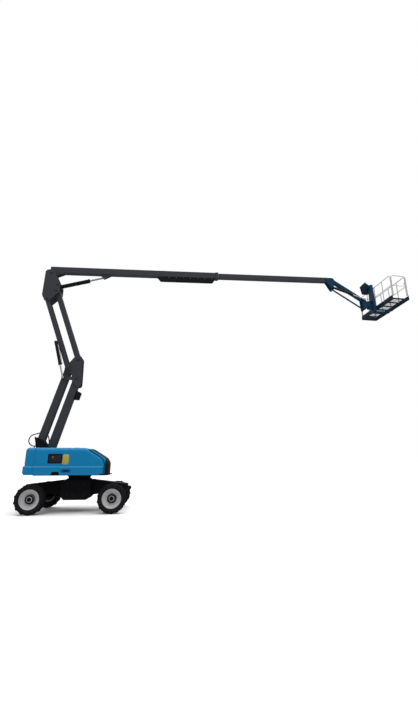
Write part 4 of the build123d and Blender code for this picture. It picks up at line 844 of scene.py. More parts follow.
@dataclass
class Trim:
    """A set of small pieces that dresses one part of the machine.

    Args:
        machine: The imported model.
        shop: Where the finishes are made.
    """

    machine: Machine
    shop: PaintShop

    def shape(self) -> Shape:
        """Start a piece."""
        return Shape(self.shop)

    def build(self) -> None:
        """Make the pieces."""
        raise NotImplementedError

    def stop_button(self, name: str, seat: Vector, out: Vector, scale: float, body: str) -> None:
        """Set a mushroom stop button with its yellow collar.

        Args:
            name: How the names of its two pieces start.
            seat: Point on the panel.
            out: Direction out of the panel.
            scale: Size against a 40 mm button.
            body: The body that carries it.
        """
        collar = ((0.0, 0.030), (0.003, 0.030), (0.005, 0.027), (0.005, 0.0))
        button = ((0.004, 0.010), (0.010, 0.011), (0.011, 0.019), (0.015, 0.020), (0.019, 0.017), (0.021, 0.010),
                  (0.0215, 0.0))
        for part, profile, finish in (("collar", collar, PLATE_YELLOW), ("button", button, BUTTON_RED)):
            shape = self.shape()
            shape.lathe([(d * scale, r * scale) for d, r in profile], seat, out, 36)
            shape.piece(f"{name}_{part}", finish, body)


@dataclass
class TowerHose(Trim):
    """The hose that loops out behind the tower's foot, from the counterweight down to the deck."""

    across: float = 0.335
    radius: float = 0.019
    length: float = 2.71
    ferrule_radius: float = 0.026
    ferrule_length: float = 0.075
    route: Profile = (
        (-1.520, 2.184), (-1.625, 2.184), (-1.727, 2.185), (-1.827, 2.188), (-1.918, 2.234), (-1.977, 2.317),
        (-1.993, 2.417), (-1.962, 2.514), (-1.890, 2.586), (-1.747, 2.632), (-1.554, 2.684), (-1.441, 2.664),
        (-1.352, 2.599), (-1.298, 2.498), (-1.267, 2.321), (-1.235, 2.043), (-1.212, 1.664), (-1.212, 1.284),
    )

    def build(self) -> None:
        """Lay the hose on its route and crimp its ends."""
        curve = bpy.data.curves.new("tower_hose_line", "CURVE")
        curve.dimensions = "3D"
        curve.bevel_depth = self.radius
        curve.bevel_resolution = 5
        curve.resolution_u = 10
        curve.use_fill_caps = True
        spline = curve.splines.new("NURBS")
        spline.points.add(len(self.route) - 1)
        for point, (x, z) in zip(spline.points, self.route):
            point.co = (x, self.across, z, 1.0)
        spline.order_u = 3
        spline.use_endpoint_u = True
        curve.materials.append(self.shop.material(HOSE_RUBBER))
        hose = bpy.data.objects.new("tower_hose_line", curve)
        bpy.context.scene.collection.objects.link(hose)
        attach(hose, "turntable")
        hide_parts("tower_hose")
        ends = [vec(x, self.across, z) for x, z in (self.route[0], self.route[1], self.route[-1], self.route[-2])]
        shape = self.shape()
        for start, ahead in (ends[:2], ends[2:]):
            shape.lathe(self._ferrule(), start, (ahead - start).normalized(), 28)
        shape.piece("hose_ferrules", DARK_STEEL, "turntable")

    def _ferrule(self) -> Profile:
        """Work out the crimped sleeve on an end of the hose.

        Returns:
            Its profile.
        """
        inner, outer, collar, groove = self.radius + 0.0008, self.ferrule_radius, self.ferrule_radius + 0.004, 0.002
        profile = [(0.0, inner), (0.0, collar), (0.018, collar), (0.020, outer)]
        for ring in range(4):
            at = 0.026 + ring * 0.011
            profile += [(at, outer), (at + groove, outer - groove), (at + 0.006, outer - groove), (at + 0.008, outer)]
        return [*profile, (self.ferrule_length, outer - groove), (self.ferrule_length, inner), (0.0, inner)]


@dataclass
class Tyres(Trim):
    """The four rubber tyres: round carcass, slanted shoulder lugs and ribbed sidewalls."""

    radius: float = 0.470
    tread: float = 0.453
    flank: float = 0.395
    lip: float = 0.343
    bead: float = 0.3063
    half: float = 0.1775
    shoulder: float = 0.1375
    seat: float = 0.1435
    turn: float = 0.012
    lug_length: float = 0.120
    lug_thick: float = 0.066
    lug_root: float = 0.012
    lug_chamfer: float = 0.035
    lug_slant: float = 12.0
    lug_count: int = 14
    lug_round: float = 0.005
    rib_radii: tuple[float, ...] = (0.354, 0.365, 0.384)
    rib_width: float = 0.004
    rib_rise: float = 0.0035

    def build(self) -> None:
        """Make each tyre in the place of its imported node."""
        for wheel in WHEELS:
            centre = self.machine.pivot(f"wheel_{wheel}_spin")
            shape = self.shape()
            self._carcass(shape, centre)
            for side in SIDES:
                self._lugs(shape, centre, side)
                self._ribs(shape, centre, side)
            tyre = shape.piece(f"tyre_rubber_{wheel}", RUBBER, f"wheel_{wheel}", "tyre_rubber")
            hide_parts(f"tyre_{wheel}")

    def _carcass(self, shape: Shape, centre: Vector) -> None:
        """Turn the body of a tyre.

        Args:
            shape: The tyre.
            centre: The wheel's middle.
        """
        right = [
            (self.seat, self.bead), (self.half - 0.004, self.lip - 0.004), (self.half, self.lip),
            (self.half, self.flank - self.turn), (self.half - 0.006, self.flank + 0.004),
            (self.shoulder + self.turn, self.tread - 0.014), (self.shoulder - self.turn, self.tread),
        ]
        left = [(-d, r) for d, r in reversed(right)]
        shape.lathe([*right, *left, right[0]], centre, ACROSS, 112)

    def _lugs(self, shape: Shape, centre: Vector, side: float) -> None:
        """Set the row of lugs on one shoulder.

        Args:
            shape: The tyre.
            centre: The wheel's middle.
            side: -1 for the row nearer the camera, 1 for the other.
        """
        start, wall, root = self.half - self.lug_length, self.half - SINK, self.flank - self.lug_root
        outline = [
            (self.tread - self.lug_root, start), (self.radius, start + self.lug_root),
            (self.radius, self.half - self.lug_chamfer), (self.radius - self.lug_chamfer, wall),
            (root, wall), (root, self.shoulder),
        ]
        middle = Matrix.Translation(ACROSS * (side * (self.half - self.lug_length / 2)))
        slant = middle @ Matrix.Rotation(math.radians(self.lug_slant), 4, "Z") @ middle.inverted()
        offset = 0.5 if side > 0 else 0.0
        for step in range(self.lug_count):
            angle = (step + offset) * math.tau / self.lug_count
            place = Matrix.Translation(centre) @ Matrix.Rotation(angle, 4, "Y") @ slant
            points = [place @ vec(-self.lug_thick / 2, side * d, r) for r, d in outline]
            shape.plate(points, place.to_3x3() @ (ALONG * self.lug_thick), self.lug_round)

    def _ribs(self, shape: Shape, centre: Vector, side: float) -> None:
        """Raise the moulded ribs on one sidewall.

        Args:
            shape: The tyre.
            centre: The wheel's middle.
            side: -1 for the wall nearer the camera, 1 for the other.
        """
        w, base, top = self.rib_width, self.half - 2 * SINK, self.half + self.rib_rise
        section = ((base, -w), (top - SINK, -w * 0.6), (top, 0.0), (top - SINK, w * 0.6), (base, w), (base, -w))
        for radius in self.rib_radii:
            shape.lathe([(d, radius + r) for d, r in section], centre, ACROSS * side, 96)


@dataclass
class WheelTrim(Trim):
    """Hub covers and nuts of the four wheels."""

    disc_out: float = 0.0235
    hub_radius: float = 0.150
    hub_height: float = 0.060
    cap_radius: float = 0.095
    cap_height: float = 0.040
    skin: float = 0.002
    nut_radius: float = 0.015
    nut_height: float = 0.020
    nut_pitch: float = 0.123
    nut_count: int = 9
    screw_count: int = 6
    screw_inset: float = 0.036
    screw: Head = (0.006, 0.005)

    def build(self) -> None:
        """Turn the dark cover over each hub, and set the nuts round it and small screws on its cap."""
        hub, cap, s = self.hub_radius, self.cap_radius, self.skin
        base, top = self.disc_out, self.disc_out + self.hub_height
        crown = top + self.cap_height
        profile = [
            (base + s, hub + 0.012), (base + 0.014, hub + s), (top - 0.008, hub + s), (top + s, hub - 0.006),
            (top + s, cap + 0.006), (top + 0.008, cap + s), (crown - 0.010, cap - 0.010), (crown + s, cap - 0.024),
            (crown + s, 0.040), (crown + 0.006, 0.034), (crown + 0.006, 0.0),
        ]
        for wheel in WHEELS:
            centre = self.machine.pivot(f"wheel_{wheel}_spin")
            out = ACROSS * math.copysign(1.0, centre.y)
            cover, nuts = self.shape(), self.shape()
            cover.lathe(profile, centre, out)
            face, end = centre + out * (top + s), centre + out * (crown + s)
            nuts.bolt_circle(face, out, self.nut_pitch, self.nut_count, self.nut_radius, self.nut_height)
            nuts.bolt_circle(end, out, cap - self.screw_inset, self.screw_count, *self.screw)
            cover.piece(f"hub_cover_{wheel}", CHASSIS_PAINT, f"wheel_{wheel}")
            nuts.piece(f"wheel_nuts_{wheel}", CHASSIS_PAINT, f"wheel_{wheel}")


@dataclass
class PinTrim(Trim):
    """Keeper caps on the ends of the linkage pins."""

    thick: float = 0.007
    grow: float = 1.35
    tower_pin: float = 0.045
    jib_pin: float = 0.030
    knuckle_y: float = 0.170
    link_y: float = 0.243
    top_y: float = 0.275
    plate_y: float = 0.115

    def build(self) -> None:
        """Cap the pins of the tower, boom and jib."""
        pivot = self.machine.pivot
        rise = pivot("top_level") - pivot("upper_arm_turn")
        jib_link = pivot("jib_link_turn")
        tip = jib_link + pivot("jib_level") - pivot("jib_raise")
        middle = [(pivot("mid_level"), self.knuckle_y), (pivot("upper_arm_turn"), self.knuckle_y),
                  (pivot("upper_link_turn"), self.link_y)]
        top = [pivot("top_level"), pivot("upper_link_turn") + rise, pivot("boom_raise"), pivot("lift_barrel_turn")]
        nose = [pivot("nose_level"), pivot("jib_raise")]
        self._caps("pin_caps_middle", "mid_knuckle", self.tower_pin, [(p, s * y) for p, y in middle for s in SIDES])
        self._caps("pin_caps_top", "top_knuckle", self.tower_pin, [(p, s * self.top_y) for p in top for s in SIDES])
        self._caps("pin_caps_nose", "jib_base", self.jib_pin,
                   [*[(p, s * self.plate_y) for p in nose for s in SIDES], (jib_link, self.plate_y)])
        self._caps("pin_caps_tip", "jib_end", self.jib_pin,
                   [(pivot("jib_level"), self.plate_y), *[(tip, s * self.plate_y) for s in SIDES]])

    def _caps(self, name: str, body: str, radius: float, ends: Sequence[tuple[Vector, float]]) -> None:
        """Make one piece of all the caps on a body.

        Args:
            name: The piece's name.
            body: The body that carries the pins.
            radius: The pins' radius.
            ends: Each pin's pivot and the y of its end.
        """
        shape = self.shape()
        thick, rim = self.thick, radius * self.grow
        for point, y in ends:
            out = ACROSS * math.copysign(1.0, y)
            seat = vec(point.x, y, point.z)
            shape.lathe([(0.0, rim), (thick * 0.6, rim), (thick, rim * 0.88), (thick, 0.0)], seat, out, 32)
            shape.bolt_circle(seat + out * thick * 0.9, out, rim * 0.55, 3, radius * 0.2, thick * 0.5, 30.0)
        shape.piece(name, DARK_STEEL, body, "arm_grey")


@dataclass
class HoodTrim(Trim):
    """Latches, grips, lips and hinge screws of the two hoods, and the near one's window frame and blank plate."""

    side: float = 1.085
    skirt: float = 1.120
    wall: float = 0.008
    bottom: float = 1.245
    lip: float = 1.206
    rear: float = -1.280
    front_near: float = 0.980
    front_far: float = 0.720
    corner: float = 0.145
    latch_x: float = -0.255
    latch_z: float = 1.340
    latch_length: float = 0.310
    latch_height: float = 0.100
    pan_depth: float = 0.036
    pan_corner: float = 0.04
    pan_rim: float = 0.012
    paddle_half: Span = (0.085, 0.024)
    paddle_sunk: float = 0.026
    paddle_feet: tuple[float, ...] = (-0.05, 0.05)
    hinge_half: float = 0.1
    grip_x: Span = (-0.720, -0.450)
    grip_top: float = 1.312
    grip_rows: int = 6
    grip_row_start: float = 0.013
    grip_row_pitch: float = 0.015
    grip_row_radius: float = 0.003
    window_x: Span = (-0.854, -0.424)
    window_z: Span = (1.588, 1.873)
    frame_grow: float = 0.012
    plate_x: Span = (-0.398, -0.203)
    plate_z: Span = (1.548, 1.868)
    hinge_x: tuple[float, ...] = (-0.9, -0.1)
    hinge_y: float = 0.485
    hinge_z: float = 2.099
    hinge_steps: tuple[float, ...] = (-0.056, -0.032, 0.032, 0.056)
    hinge_screw: Head = (0.007, 0.005)

    def build(self) -> None:
        """Dress both hoods."""
        for name, side, front in (("near", -1.0, self.front_near), ("far", 1.0, self.front_far)):
            self._latch(name, side)
            self._grip(name, side)
            lip, screws = self.shape(), self.shape()
            lip.block(vec(self.rear + 0.002, side * self.skirt, self.lip),
                      vec(front - self.corner, side * (self.skirt - self.wall), self.bottom + SINK), 0.0025)
            lip.piece(f"skirt_lip_{name}", HOOD_PAINT, f"hood_{name}", "hood_blue")
            for x in self.hinge_x:
                for step in self.hinge_steps:
                    screws.bolt(vec(x + step, side * self.hinge_y, self.hinge_z), UP, *self.hinge_screw)
            screws.piece(f"hinge_screws_{name}", ZINC, f"hood_{name}")
        self._window()

    def _latch(self, name: str, side: float) -> None:
        """Sink a pan behind the skirt's slot, with a paddle and a lock in it.

        Args:
            name: The hood's side by name.
            side: -1 for the near hood, 1 for the far one.
        """
        body, out, x, z = f"hood_{name}", ACROSS * side, self.latch_x, self.latch_z
        wide, high = self.latch_length / 2 + self.pan_rim, self.latch_height / 2 + self.pan_rim
        outline = side_outline((x - wide, x + wide), (z - high, z + high),
                               side * (self.skirt - self.wall - self.pan_depth))
        pan = self.shape()
        pan.plate(outline, out * 0.003, corner=self.pan_corner)
        pan.border(outline, 0.004, out * (self.pan_depth + SINK), corner=self.pan_corner)
        pan.piece(f"latch_pan_{name}", HOOD_PAINT, body, "hood_blue")
        y, (wide, high) = side * (self.skirt - self.paddle_sunk), self.paddle_half
        axle, reach = vec(x, y, z + high + 0.002), ALONG * self.hinge_half
        paddle = self.shape()
        paddle.plate(side_outline((x - wide, x + wide), (z - high, z + high), y), out * 0.012, 0.003, 0.012)
        paddle.rod(axle - reach, axle + reach, 0.006, bevel=0.001)
        for foot in (vec(x + step, y, z) for step in self.paddle_feet):
            paddle.rod(foot - out * 0.02, foot, 0.010)
        paddle.piece(f"latch_paddle_{name}", JIB_PAINT, body)
        lock = self.shape()
        profile = ((0.0, 0.011), (0.004, 0.011), (0.005, 0.009), (0.005, 0.003), (0.003, 0.003), (0.003, 0.0))
        lock.lathe(profile, vec(x, side * (self.skirt - 0.014), z), out, 24)
        lock.piece(f"latch_lock_{name}", DARK_STEEL, body)

    def _grip(self, name: str, side: float) -> None:
        """Fix the dark ribbed grip on the skirt's lower edge.

        Args:
            name: The hood's side by name.
            side: -1 for the near hood, 1 for the far one.
        """
        y, slope, thick, inset = side * (self.skirt - SINK), 0.028, ACROSS * (side * 0.006), 0.035
        (x0, x1), low, top = self.grip_x, self.lip + 0.002, self.grip_top
        shape = self.shape()
        outline = [vec(x0, y, low), vec(x1, y, low), vec(x1 - slope, y, top), vec(x0 + slope, y, top)]
        shape.plate(outline, thick, 0.002, 0.010)
        for row in range(self.grip_rows):
            z = low + self.grip_row_start + row * self.grip_row_pitch
            shape.rod(vec(x0 + inset, y, z) + thick, vec(x1 - inset, y, z) + thick, self.grip_row_radius, segments=10)
        shape.piece(f"skirt_grip_{name}", SEAL_RUBBER, f"hood_{name}")

    def _window(self) -> None:
        """Frame the near hood's window with a rubber seal and fix the blank yellow plate beside it."""
        grow = self.frame_grow
        x = (self.window_x[0] - grow, self.window_x[1] + grow)
        z = (self.window_z[0] - grow, self.window_z[1] + grow)
        seal, plate = self.shape(), self.shape()
        seal.border(side_outline(x, z, -self.side + 0.006), 0.018, ACROSS * -0.011, 0.003, 0.036)
        seal.piece("window_seal", SEAL_RUBBER, "hood_near")
        plate.plate(side_outline(self.plate_x, self.plate_z, -self.side + 0.0005), ACROSS * -0.0025, 0.0006, 0.045)
        plate.piece("blank_plate", PLATE_YELLOW, "hood_near", "hood_blue")


@dataclass
class TurntableTrim(Trim):
    """Hardware of the turntable: counterweight bolts, lip and lifting eyes, and the ground controls."""

    tail: float = -1.600
    top: float = 2.085
    bolt_y: tuple[float, ...] = (-0.62, 0.62)
    bolt_z: tuple[float, ...] = (1.62, 1.92)
    bolt: Head = (0.027, 0.019)
    washer: float = 0.007
    lip_x: Span = (-1.292, -1.2815)
    lip_bars: tuple[tuple[Span, Span], ...] = (((0.980, 1.076), (1.500, 1.985)), ((1.000, 1.110), (1.250, 1.460)))
    eye_x: float = -1.44
    eye_y: float = 0.74
    panel_y: float = -1.052
    panel_x: Span = (-0.868, -0.410)
    panel_z: Span = (1.574, 1.887)
    panel_edge: float = 0.03
    toggle_rows: tuple[float, ...] = (0.045, 0.110)
    toggle_count: int = 6
    toggle_pitch: float = 0.046

    def build(self) -> None:
        """Dress the turntable."""
        self._counterweight()
        self._panel()

    def _counterweight(self) -> None:
        """Bolt the counterweight on, back its joint with a lip and screw two lifting eyes into its top."""
        bolts, lip, eyes = self.shape(), self.shape(), self.shape()
        washer = ((-0.002, 0.062), (0.004, 0.062), (self.washer, 0.056), (self.washer, 0.0))
        for y in self.bolt_y:
            for z in self.bolt_z:
                seat = vec(self.tail, y, z)
                bolts.lathe(washer, seat, -ALONG, 40)
                bolts.bolt(seat - ALONG * self.washer, -ALONG, *self.bolt)
        bolts.piece("counterweight_bolts", DARK_STEEL, "turntable")
        for side in SIDES:
            for y, z in self.lip_bars:
                lip.block(vec(self.lip_x[0], side * y[0], z[0]), vec(self.lip_x[1], side * y[1], z[1]))
        lip.piece("counterweight_lip", HOOD_PAINT, "turntable", "hood_blue")
        collar = ((0.0, 0.032), (0.010, 0.032), (0.014, 0.026), (0.020, 0.014), (0.020, 0.0))
        for side in SIDES:
            seat = vec(self.eye_x, side * self.eye_y, self.top - 0.002)
            eyes.lathe(collar, seat, UP, 32)
            eyes.ring(seat + UP * 0.052, ALONG, 0.030, 0.009)
        eyes.piece("lifting_eyes", DARK_STEEL, "turntable")

    def _panel(self) -> None:
        """Lay out the ground controls: screen, stop button, key and two rows of toggles."""
        out, edge = -ACROSS, self.panel_edge
        x0, x1 = self.panel_x[0] + edge, self.panel_x[1] - edge
        z0, z1 = self.panel_z[0] + edge, self.panel_z[1] - edge
        y = self.panel_y - 0.003
        face, screen, controls, lock = (self.shape() for _ in range(4))
        face.plate(side_outline((x0, x1), (z0, z1), self.panel_y + SINK), out * 0.004, 0.001, 0.012)
        face.piece("ground_panel_face", DARK_STEEL, "turntable")
        screen.plate(side_outline((x1 - 0.17, x1 - 0.04), (z1 - 0.10, z1 - 0.025), y), out * 0.006, 0.0015, 0.008)
        screen.piece("ground_screen", SCREEN_GLASS, "turntable")
        collar = ((0.0, 0.010), (0.003, 0.010), (0.003, 0.007), (0.006, 0.006), (0.006, 0.0))
        for row in self.toggle_rows:
            for step in range(self.toggle_count):
                seat = vec(x0 + 0.035 + step * self.toggle_pitch, y, z0 + row)
                controls.lathe(collar, seat, out, 18)
                controls.rod(seat + out * 0.004, seat + out * 0.014 + UP * 0.006, 0.0028, 0.004, 12, 0.001)
        controls.piece("ground_toggles", DARK_STEEL, "turntable")
        key = vec(x1 - 0.055, y, z0 + 0.055)
        lock.lathe(((0.0, 0.019), (0.006, 0.018), (0.008, 0.014), (0.008, 0.0)), key, out, 32)
        lock.block(key + vec(-0.003, -0.019, -0.009), key + vec(0.003, -0.008, 0.009), 0.001)
        lock.piece("ground_key", DARK_STEEL, "turntable")
        self.stop_button("ground_stop", vec(x0 + 0.115, y, z1 - 0.075), out, 0.85, "turntable")


@dataclass
class ChassisTrim(Trim):
    """Bolts and covers of the chassis and slew ring, and the tie rod's nuts."""

    flange_pitch: float = 0.4035
    flange_top: float = 1.058
    flange_bolts: int = 28
    side: float = 0.580
    cover_x: Span = (-0.30, 0.30)
    cover_z: Span = (0.55, 0.95)
    cover_thick: float = 0.006
    cover_inset: float = 0.035
    end: float = 1.700
    end_y: float = 0.12
    end_z: tuple[float, ...] = (0.70, 0.83)
    rod_eye: float = 0.040
    flange_bolt: Head = (0.013, 0.011)
    cover_bolt: Head = (0.011, 0.007)
    end_bolt: Head = (0.014, 0.010)
    rod_nut: Head = (0.020, 0.012)

    def build(self) -> None:
        """Dress the chassis."""
        ring, cover, bolts, nuts = (self.shape() for _ in range(4))
        ring.bolt_circle(UP * self.flange_top, UP, self.flange_pitch, self.flange_bolts, *self.flange_bolt)
        ring.piece("slew_bolts", DARK_STEEL, "chassis")
        for side in SIDES:
            out = ACROSS * side
            outline = side_outline(self.cover_x, self.cover_z, side * (self.side - SINK))
            cover.plate(outline, out * (self.cover_thick + SINK), 0.002, 0.04)
            for x in spread(self.cover_x, 4, self.cover_inset):
                for z in spread(self.cover_z, 2, self.cover_inset):
                    bolts.bolt(vec(x, side * (self.side + self.cover_thick), z), out, *self.cover_bolt)
            for y in (-self.end_y, self.end_y):
                for z in self.end_z:
                    bolts.bolt(vec(side * self.end, y, z), ALONG * side, *self.end_bolt)
        cover.piece("chassis_covers", CHASSIS_PAINT, "chassis")
        bolts.piece("chassis_bolts", DARK_STEEL, "chassis")
        low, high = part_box("tie_rod")
        for y in (low[1] + self.rod_eye, high[1] - self.rod_eye):
            nuts.bolt(vec((low[0] + high[0]) / 2, y, low[2]), -UP, *self.rod_nut)
        nuts.piece("tie_rod_nuts", ZINC, "tie_rod")


@dataclass
class CylinderTrim(Trim):
    """Ports, pipes and wiper seals of one hydraulic cylinder."""

    name: str
    radius: float
    rod: float
    length: float
    pipe_turn: float
    pipe_radius: float = 0.008
    clips: tuple[float, ...] = (0.3, 0.65)

    def build(self) -> None:
        """Dress the cylinder's barrel."""
        base = self.machine.pivot(f"{self.name}_barrel_turn")
        axis = Vector(self.machine.joints[f"{self.name}_rod_slide"]["axis"]).normalized()
        out = Matrix.Rotation(math.radians(self.pipe_turn), 3, axis) @ axis.cross(ACROSS).normalized()
        body, radius = f"{self.name}_barrel", self.radius
        ports, pipe, wiper = (self.shape() for _ in range(3))
        first, last = base + axis * (radius + 0.045), base + axis * (self.length - 0.030)
        for start, lift in ((first, radius), (last, radius + 0.006)):
            foot = start + out * (lift - 0.004)
            ports.rod(foot, foot + out * 0.022, 0.019, segments=24, bevel=0.002)
            ports.rod(foot + out * 0.022, foot + out * 0.036, 0.015, segments=6, bevel=0.001)
        for at in self.clips:
            clip = base + axis * (self.length * at) + out * (radius - 0.002)
            ports.rod(clip, clip + out * 0.014, 0.010, segments=16)
        ports.piece(f"{self.name}_ports", ZINC, body)
        rise = out * (radius + 0.020)
        pipe.rod(first + rise + axis * 0.010, last - axis * 0.020 + rise, self.pipe_radius, segments=14)
        pipe.piece(f"{self.name}_pipe", DARK_STEEL, body)
        back, mouth, bore = -0.002, 0.010, self.rod + 0.0025
        wiper.lathe(((back, bore), (back, radius - 0.004), (0.006, radius - 0.010), (mouth, self.rod + 0.006),
                     (mouth, bore), (back, bore)), base + axis * self.length, axis, 36)
        wiper.piece(f"{self.name}_wiper", SEAL_RUBBER, body)


@dataclass
class BoomTrim(Trim):
    """Collar screws, wear pads, tail bolts and tray screws of the main boom."""

    angle: float = 2.2
    front: float = 6.850
    tail: float = -0.090
    rise: float = 0.225
    half_width: float = 0.110
    half_height: float = 0.135
    collar: float = 0.014
    collar_rows: tuple[float, ...] = (0.090, 0.030)
    screw_step: float = 0.075
    collar_screw: Head = (0.012, 0.010)
    tail_bolt: Head = (0.011, 0.008)
    tray_screw: Head = (0.009, 0.006)
    tail_steps: tuple[float, ...] = (-0.100, 0.0, 0.100)
    inner_half_width: float = 0.0875
    inner_half_height: float = 0.1125
    tray_x: Span = (4.40, 6.56)
    tray_half: float = 0.090
    tray_rise: float = 0.060
    tray_screws: int = 8
    pad_gap: float = 0.0015
    pad_skin: float = 0.007
    pad_proud: float = 0.010
    pad_back: float = 0.060
    pad_half_height: float = 0.07
    pad_half_width: float = 0.055

    def build(self) -> None:
        """Dress the outer boom, whose X is raised by its angle in the side view."""
        turn = Matrix.Rotation(-math.radians(self.angle), 4, "Y")
        place = Matrix.Translation(self.machine.pivot("boom_raise")) @ turn
        self._screws(place)
        self._pads(place)

    def _screws(self, place: Matrix) -> None:
        """Screw the collar, the tail and the cable tray.

        Args:
            place: The boom's placement.
        """
        turn = place.to_3x3()
        screws, tray = self.shape(), self.shape()
        side, top = self.half_width + self.collar, self.half_height + self.collar
        for step in (-self.screw_step, self.screw_step):
            for along in (self.front - row for row in self.collar_rows):
                for s in SIDES:
                    screws.bolt(place @ vec(along, s * side, self.rise + step), ACROSS * s, *self.collar_screw)
                    spot = place @ vec(along, step * 0.8, self.rise + s * top)
                    screws.bolt(spot, turn @ (UP * s), *self.collar_screw)
            for z in self.tail_steps:
                screws.bolt(place @ vec(self.tail, step, self.rise + z), turn @ -ALONG, *self.tail_bolt)
        screws.piece("boom_screws", DARK_STEEL, "boom_outer", "arm_grey")
        for along in spread(self.tray_x, self.tray_screws):
            for s in SIDES:
                tray.bolt(place @ vec(along, s * self.tray_half, self.tray_rise), ACROSS * s, *self.tray_screw)
        tray.piece("tray_screws", ZINC, "boom_outer")

    def _pads(self, place: Matrix) -> None:
        """Set the nylon wear pads in the collar's mouth.

        Args:
            place: The boom's placement.
        """
        x0, x1, bevel = self.front - self.pad_back, self.front + self.pad_proud, 0.0015
        wide, high, z = self.pad_half_width, self.pad_half_height, self.rise
        shape = self.shape()
        for s in SIDES:
            low, top = sorted((s * (self.inner_half_width + self.pad_gap), s * (self.half_width - self.pad_skin)))
            shape.block(vec(x0, low, z - high), vec(x1, top, z + high), bevel, place)
            low, top = sorted((s * (self.inner_half_height + self.pad_gap), s * (self.half_height - self.pad_skin)))
            shape.block(vec(x0, -wide, z + low), vec(x1, wide, z + top), bevel, place)
        shape.piece("boom_wear_pads", NYLON, "boom_outer", "arm_grey")


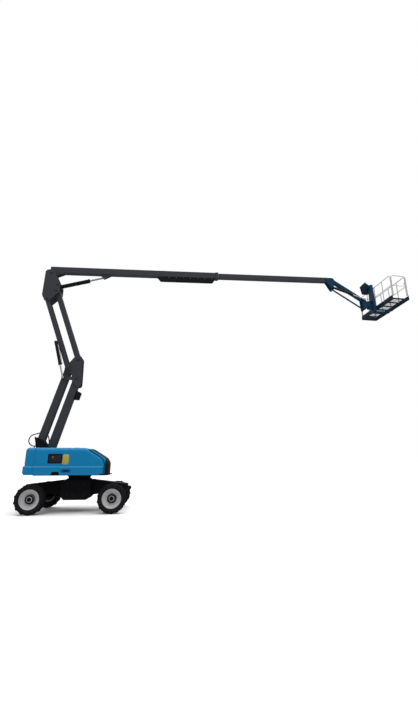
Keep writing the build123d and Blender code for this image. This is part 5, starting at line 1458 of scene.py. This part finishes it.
@dataclass
class PlatformTrim(Trim):
    """Console controls, rail sockets, floor mesh and gate latch of the platform."""

    tube: float = 0.019
    toe_board: float = 0.150
    rail_posts: int = 5
    socket_radius: float = 0.0235
    socket_height: float = 0.085
    socket_sink: float = 0.060
    socket_pin: Head = (0.007, 0.006)
    socket_pin_rise: float = 0.072
    console_y: Span = (0.135, 0.500)
    console_back: float = 0.310
    console_lip: float = 0.060
    console_rise: float = 0.300
    console_lip_height: float = 0.0453
    face_rise: float = 0.004
    mesh_pitch: float = 0.045
    mesh_radius: float = 0.0025
    mesh_drop: float = 0.004
    mesh_edge: float = 0.060
    mesh_end: float = 0.050
    guard_radius: float = 0.009
    latch_share: float = 0.62
    boot: Profile = (
        (0.0, 0.038), (0.006, 0.038), (0.010, 0.030), (0.016, 0.031), (0.020, 0.022), (0.026, 0.023), (0.030, 0.014),
        (0.075, 0.010), (0.085, 0.014), (0.115, 0.017), (0.128, 0.012), (0.130, 0.0),
    )

    def build(self) -> None:
        """Dress the platform."""
        low, high = (Vector(corner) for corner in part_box("platform_floor"))
        self._sockets(low, high)
        self._mesh(low, high)
        self._console(low.x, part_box("rail_front")[1][2])
        self._gate()

    def _sockets(self, low: Vector, high: Vector) -> None:
        """Sleeve the feet of the rails where they stand on the toe boards.

        Args:
            low: The floor's lowest corner.
            high: Its highest corner.
        """
        front, rear, end = high.x - self.tube, low.x + self.tube, high.y - 2 * self.tube
        posts = spread((low.y, high.y), self.rail_posts, 2 * self.tube)
        places = [(x, y) for x in (front, rear) for y in posts]
        places += [(rear + 2 * self.tube, end), (front - 2 * self.tube, end)]
        shape, pins = self.shape(), self.shape()
        for x, y in places:
            foot = vec(x, y, high.z - self.socket_sink)
            shape.rod(foot, foot + UP * self.socket_height, self.socket_radius, segments=28, bevel=0.003)
            inward = ALONG * math.copysign(1.0, (front + rear) / 2 - x)
            seat = foot + UP * self.socket_pin_rise + inward * (self.socket_radius - SINK)
            pins.bolt(seat, inward, *self.socket_pin)
        shape.piece("rail_sockets", RAIL_PAINT, "platform", "rail_grey")
        pins.piece("socket_pins", ZINC, "platform", "rail_grey")

    def _mesh(self, low: Vector, high: Vector) -> None:
        """Lay fine bars across the floor's slots.

        Args:
            low: The floor's lowest corner.
            high: Its highest corner.
        """
        z = high.z - self.toe_board - self.mesh_drop
        y0, y1 = low.y + self.mesh_end, high.y - self.mesh_end
        count = int((high.x - low.x - 2 * self.mesh_edge) / self.mesh_pitch)
        shape = self.shape()
        for x in spread((low.x, high.x), count + 1, self.mesh_edge):
            shape.rod(vec(x, y0, z), vec(x, y1, z), self.mesh_radius, segments=8)
        shape.piece("floor_mesh", DARK_STEEL, "platform", "jib_blue")

    def _console(self, rear: float, top: float) -> None:
        """Lay out the console: face plate, two levers, toggles, stop button and guard bar.

        Args:
            rear: The platform's rear edge.
            top: The top of the rails.
        """
        foot = vec(rear + self.console_lip, 0.0, top + self.console_lip_height)
        slope = vec(rear - self.console_back, 0.0, top + self.console_rise) - foot
        up = slope.normalized()
        out = up.cross(-ACROSS).normalized()
        out = out if out.z > 0 else -out
        y0, y1 = self.console_y

        def spot(along: float, across: float, rise: float = 0.0) -> Vector:
            """Give the point of the panel at shares of its height and width, raised a little."""
            return foot + slope * along + ACROSS * (y0 + (y1 - y0) * across) + out * rise

        face, levers, toggles, guard = (self.shape() for _ in range(4))
        corners = ((0.06, 0.05), (0.06, 0.95), (0.92, 0.95), (0.92, 0.05))
        face.plate([spot(*corner, -SINK) for corner in corners], out * 0.005, 0.001, 0.012)
        face.piece("console_face", DARK_STEEL, "platform")
        for across in (0.26, 0.74):
            levers.lathe(self.boot, spot(0.34, across, self.face_rise), out, 32)
        levers.piece("console_levers", SEAL_RUBBER, "platform")
        for step in range(6):
            seat = spot(0.66, 0.14 + step * 0.144, self.face_rise)
            toggles.lathe(((0.0, 0.011), (0.003, 0.011), (0.004, 0.007), (0.007, 0.006), (0.007, 0.0)), seat, out, 18)
            toggles.rod(seat + out * 0.005, seat + out * 0.024 + up * 0.008, 0.003, 0.0045, 12, 0.001)
        toggles.piece("console_toggles", ZINC, "platform")
        self.stop_button("console_stop", spot(0.83, 0.5, self.face_rise), out, 1.1, "platform")
        ends, lift = (0.02, 0.98), 0.090
        for across in ends:
            guard.rod(spot(0.96, across, -0.01), spot(0.96, across, lift), self.guard_radius, segments=16)
        guard.rod(*(spot(0.96, across, lift) for across in ends), self.guard_radius, segments=14)
        guard.piece("console_guard", RAIL_PAINT, "platform", "rail_grey")

    def _gate(self) -> None:
        """Fit a spring latch on the inside of the gate's free post."""
        low, high = (Vector(corner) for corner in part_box("platform_gate"))
        z = low.z + self.latch_share * (high.z - low.z)
        x, y = high.x - self.tube, high.y
        shape = self.shape()
        shape.block(vec(x - 0.020, y - 0.006, z - 0.045), vec(x + 0.016, y + 0.014, z + 0.045), 0.003)
        shape.rod(vec(x - 0.004, y + 0.012, z), vec(x - 0.004, y + 0.034, z), 0.007, segments=16, bevel=0.001)
        shape.rod(vec(x - 0.004, y + 0.034, z), vec(x - 0.070, y + 0.034, z), 0.006, 0.008, 16, 0.001)
        shape.piece("gate_latch", ZINC, "gate", "rail_grey")


def main() -> None:
    """Load the machine, dress it and stand it in the studio."""
    logging.basicConfig(level=logging.INFO, format="%(name)s: %(message)s")
    for old in list(bpy.data.objects):
        bpy.data.objects.remove(old)
    machine = Machine()
    shop = PaintShop()
    Studio().build()
    machine.paint(shop)
    kinds = (TowerHose, Tyres, WheelTrim, PinTrim, HoodTrim, TurntableTrim, ChassisTrim)
    cylinders = (("lift", 0.072, 0.038, 1.240, 180.0), ("riser", 0.058, 0.030, 0.900, 0.0),
                 ("jib", 0.046, 0.024, 0.940, 0.0))
    trims = (*(kind(machine, shop) for kind in kinds), *(CylinderTrim(machine, shop, *sizes) for sizes in cylinders),
             BoomTrim(machine, shop), PlatformTrim(machine, shop))
    for trim in trims:
        trim.build()
        log.info("%s done", type(trim).__name__)
    machine.write_sizes()


if __name__ == "__main__":
    main()
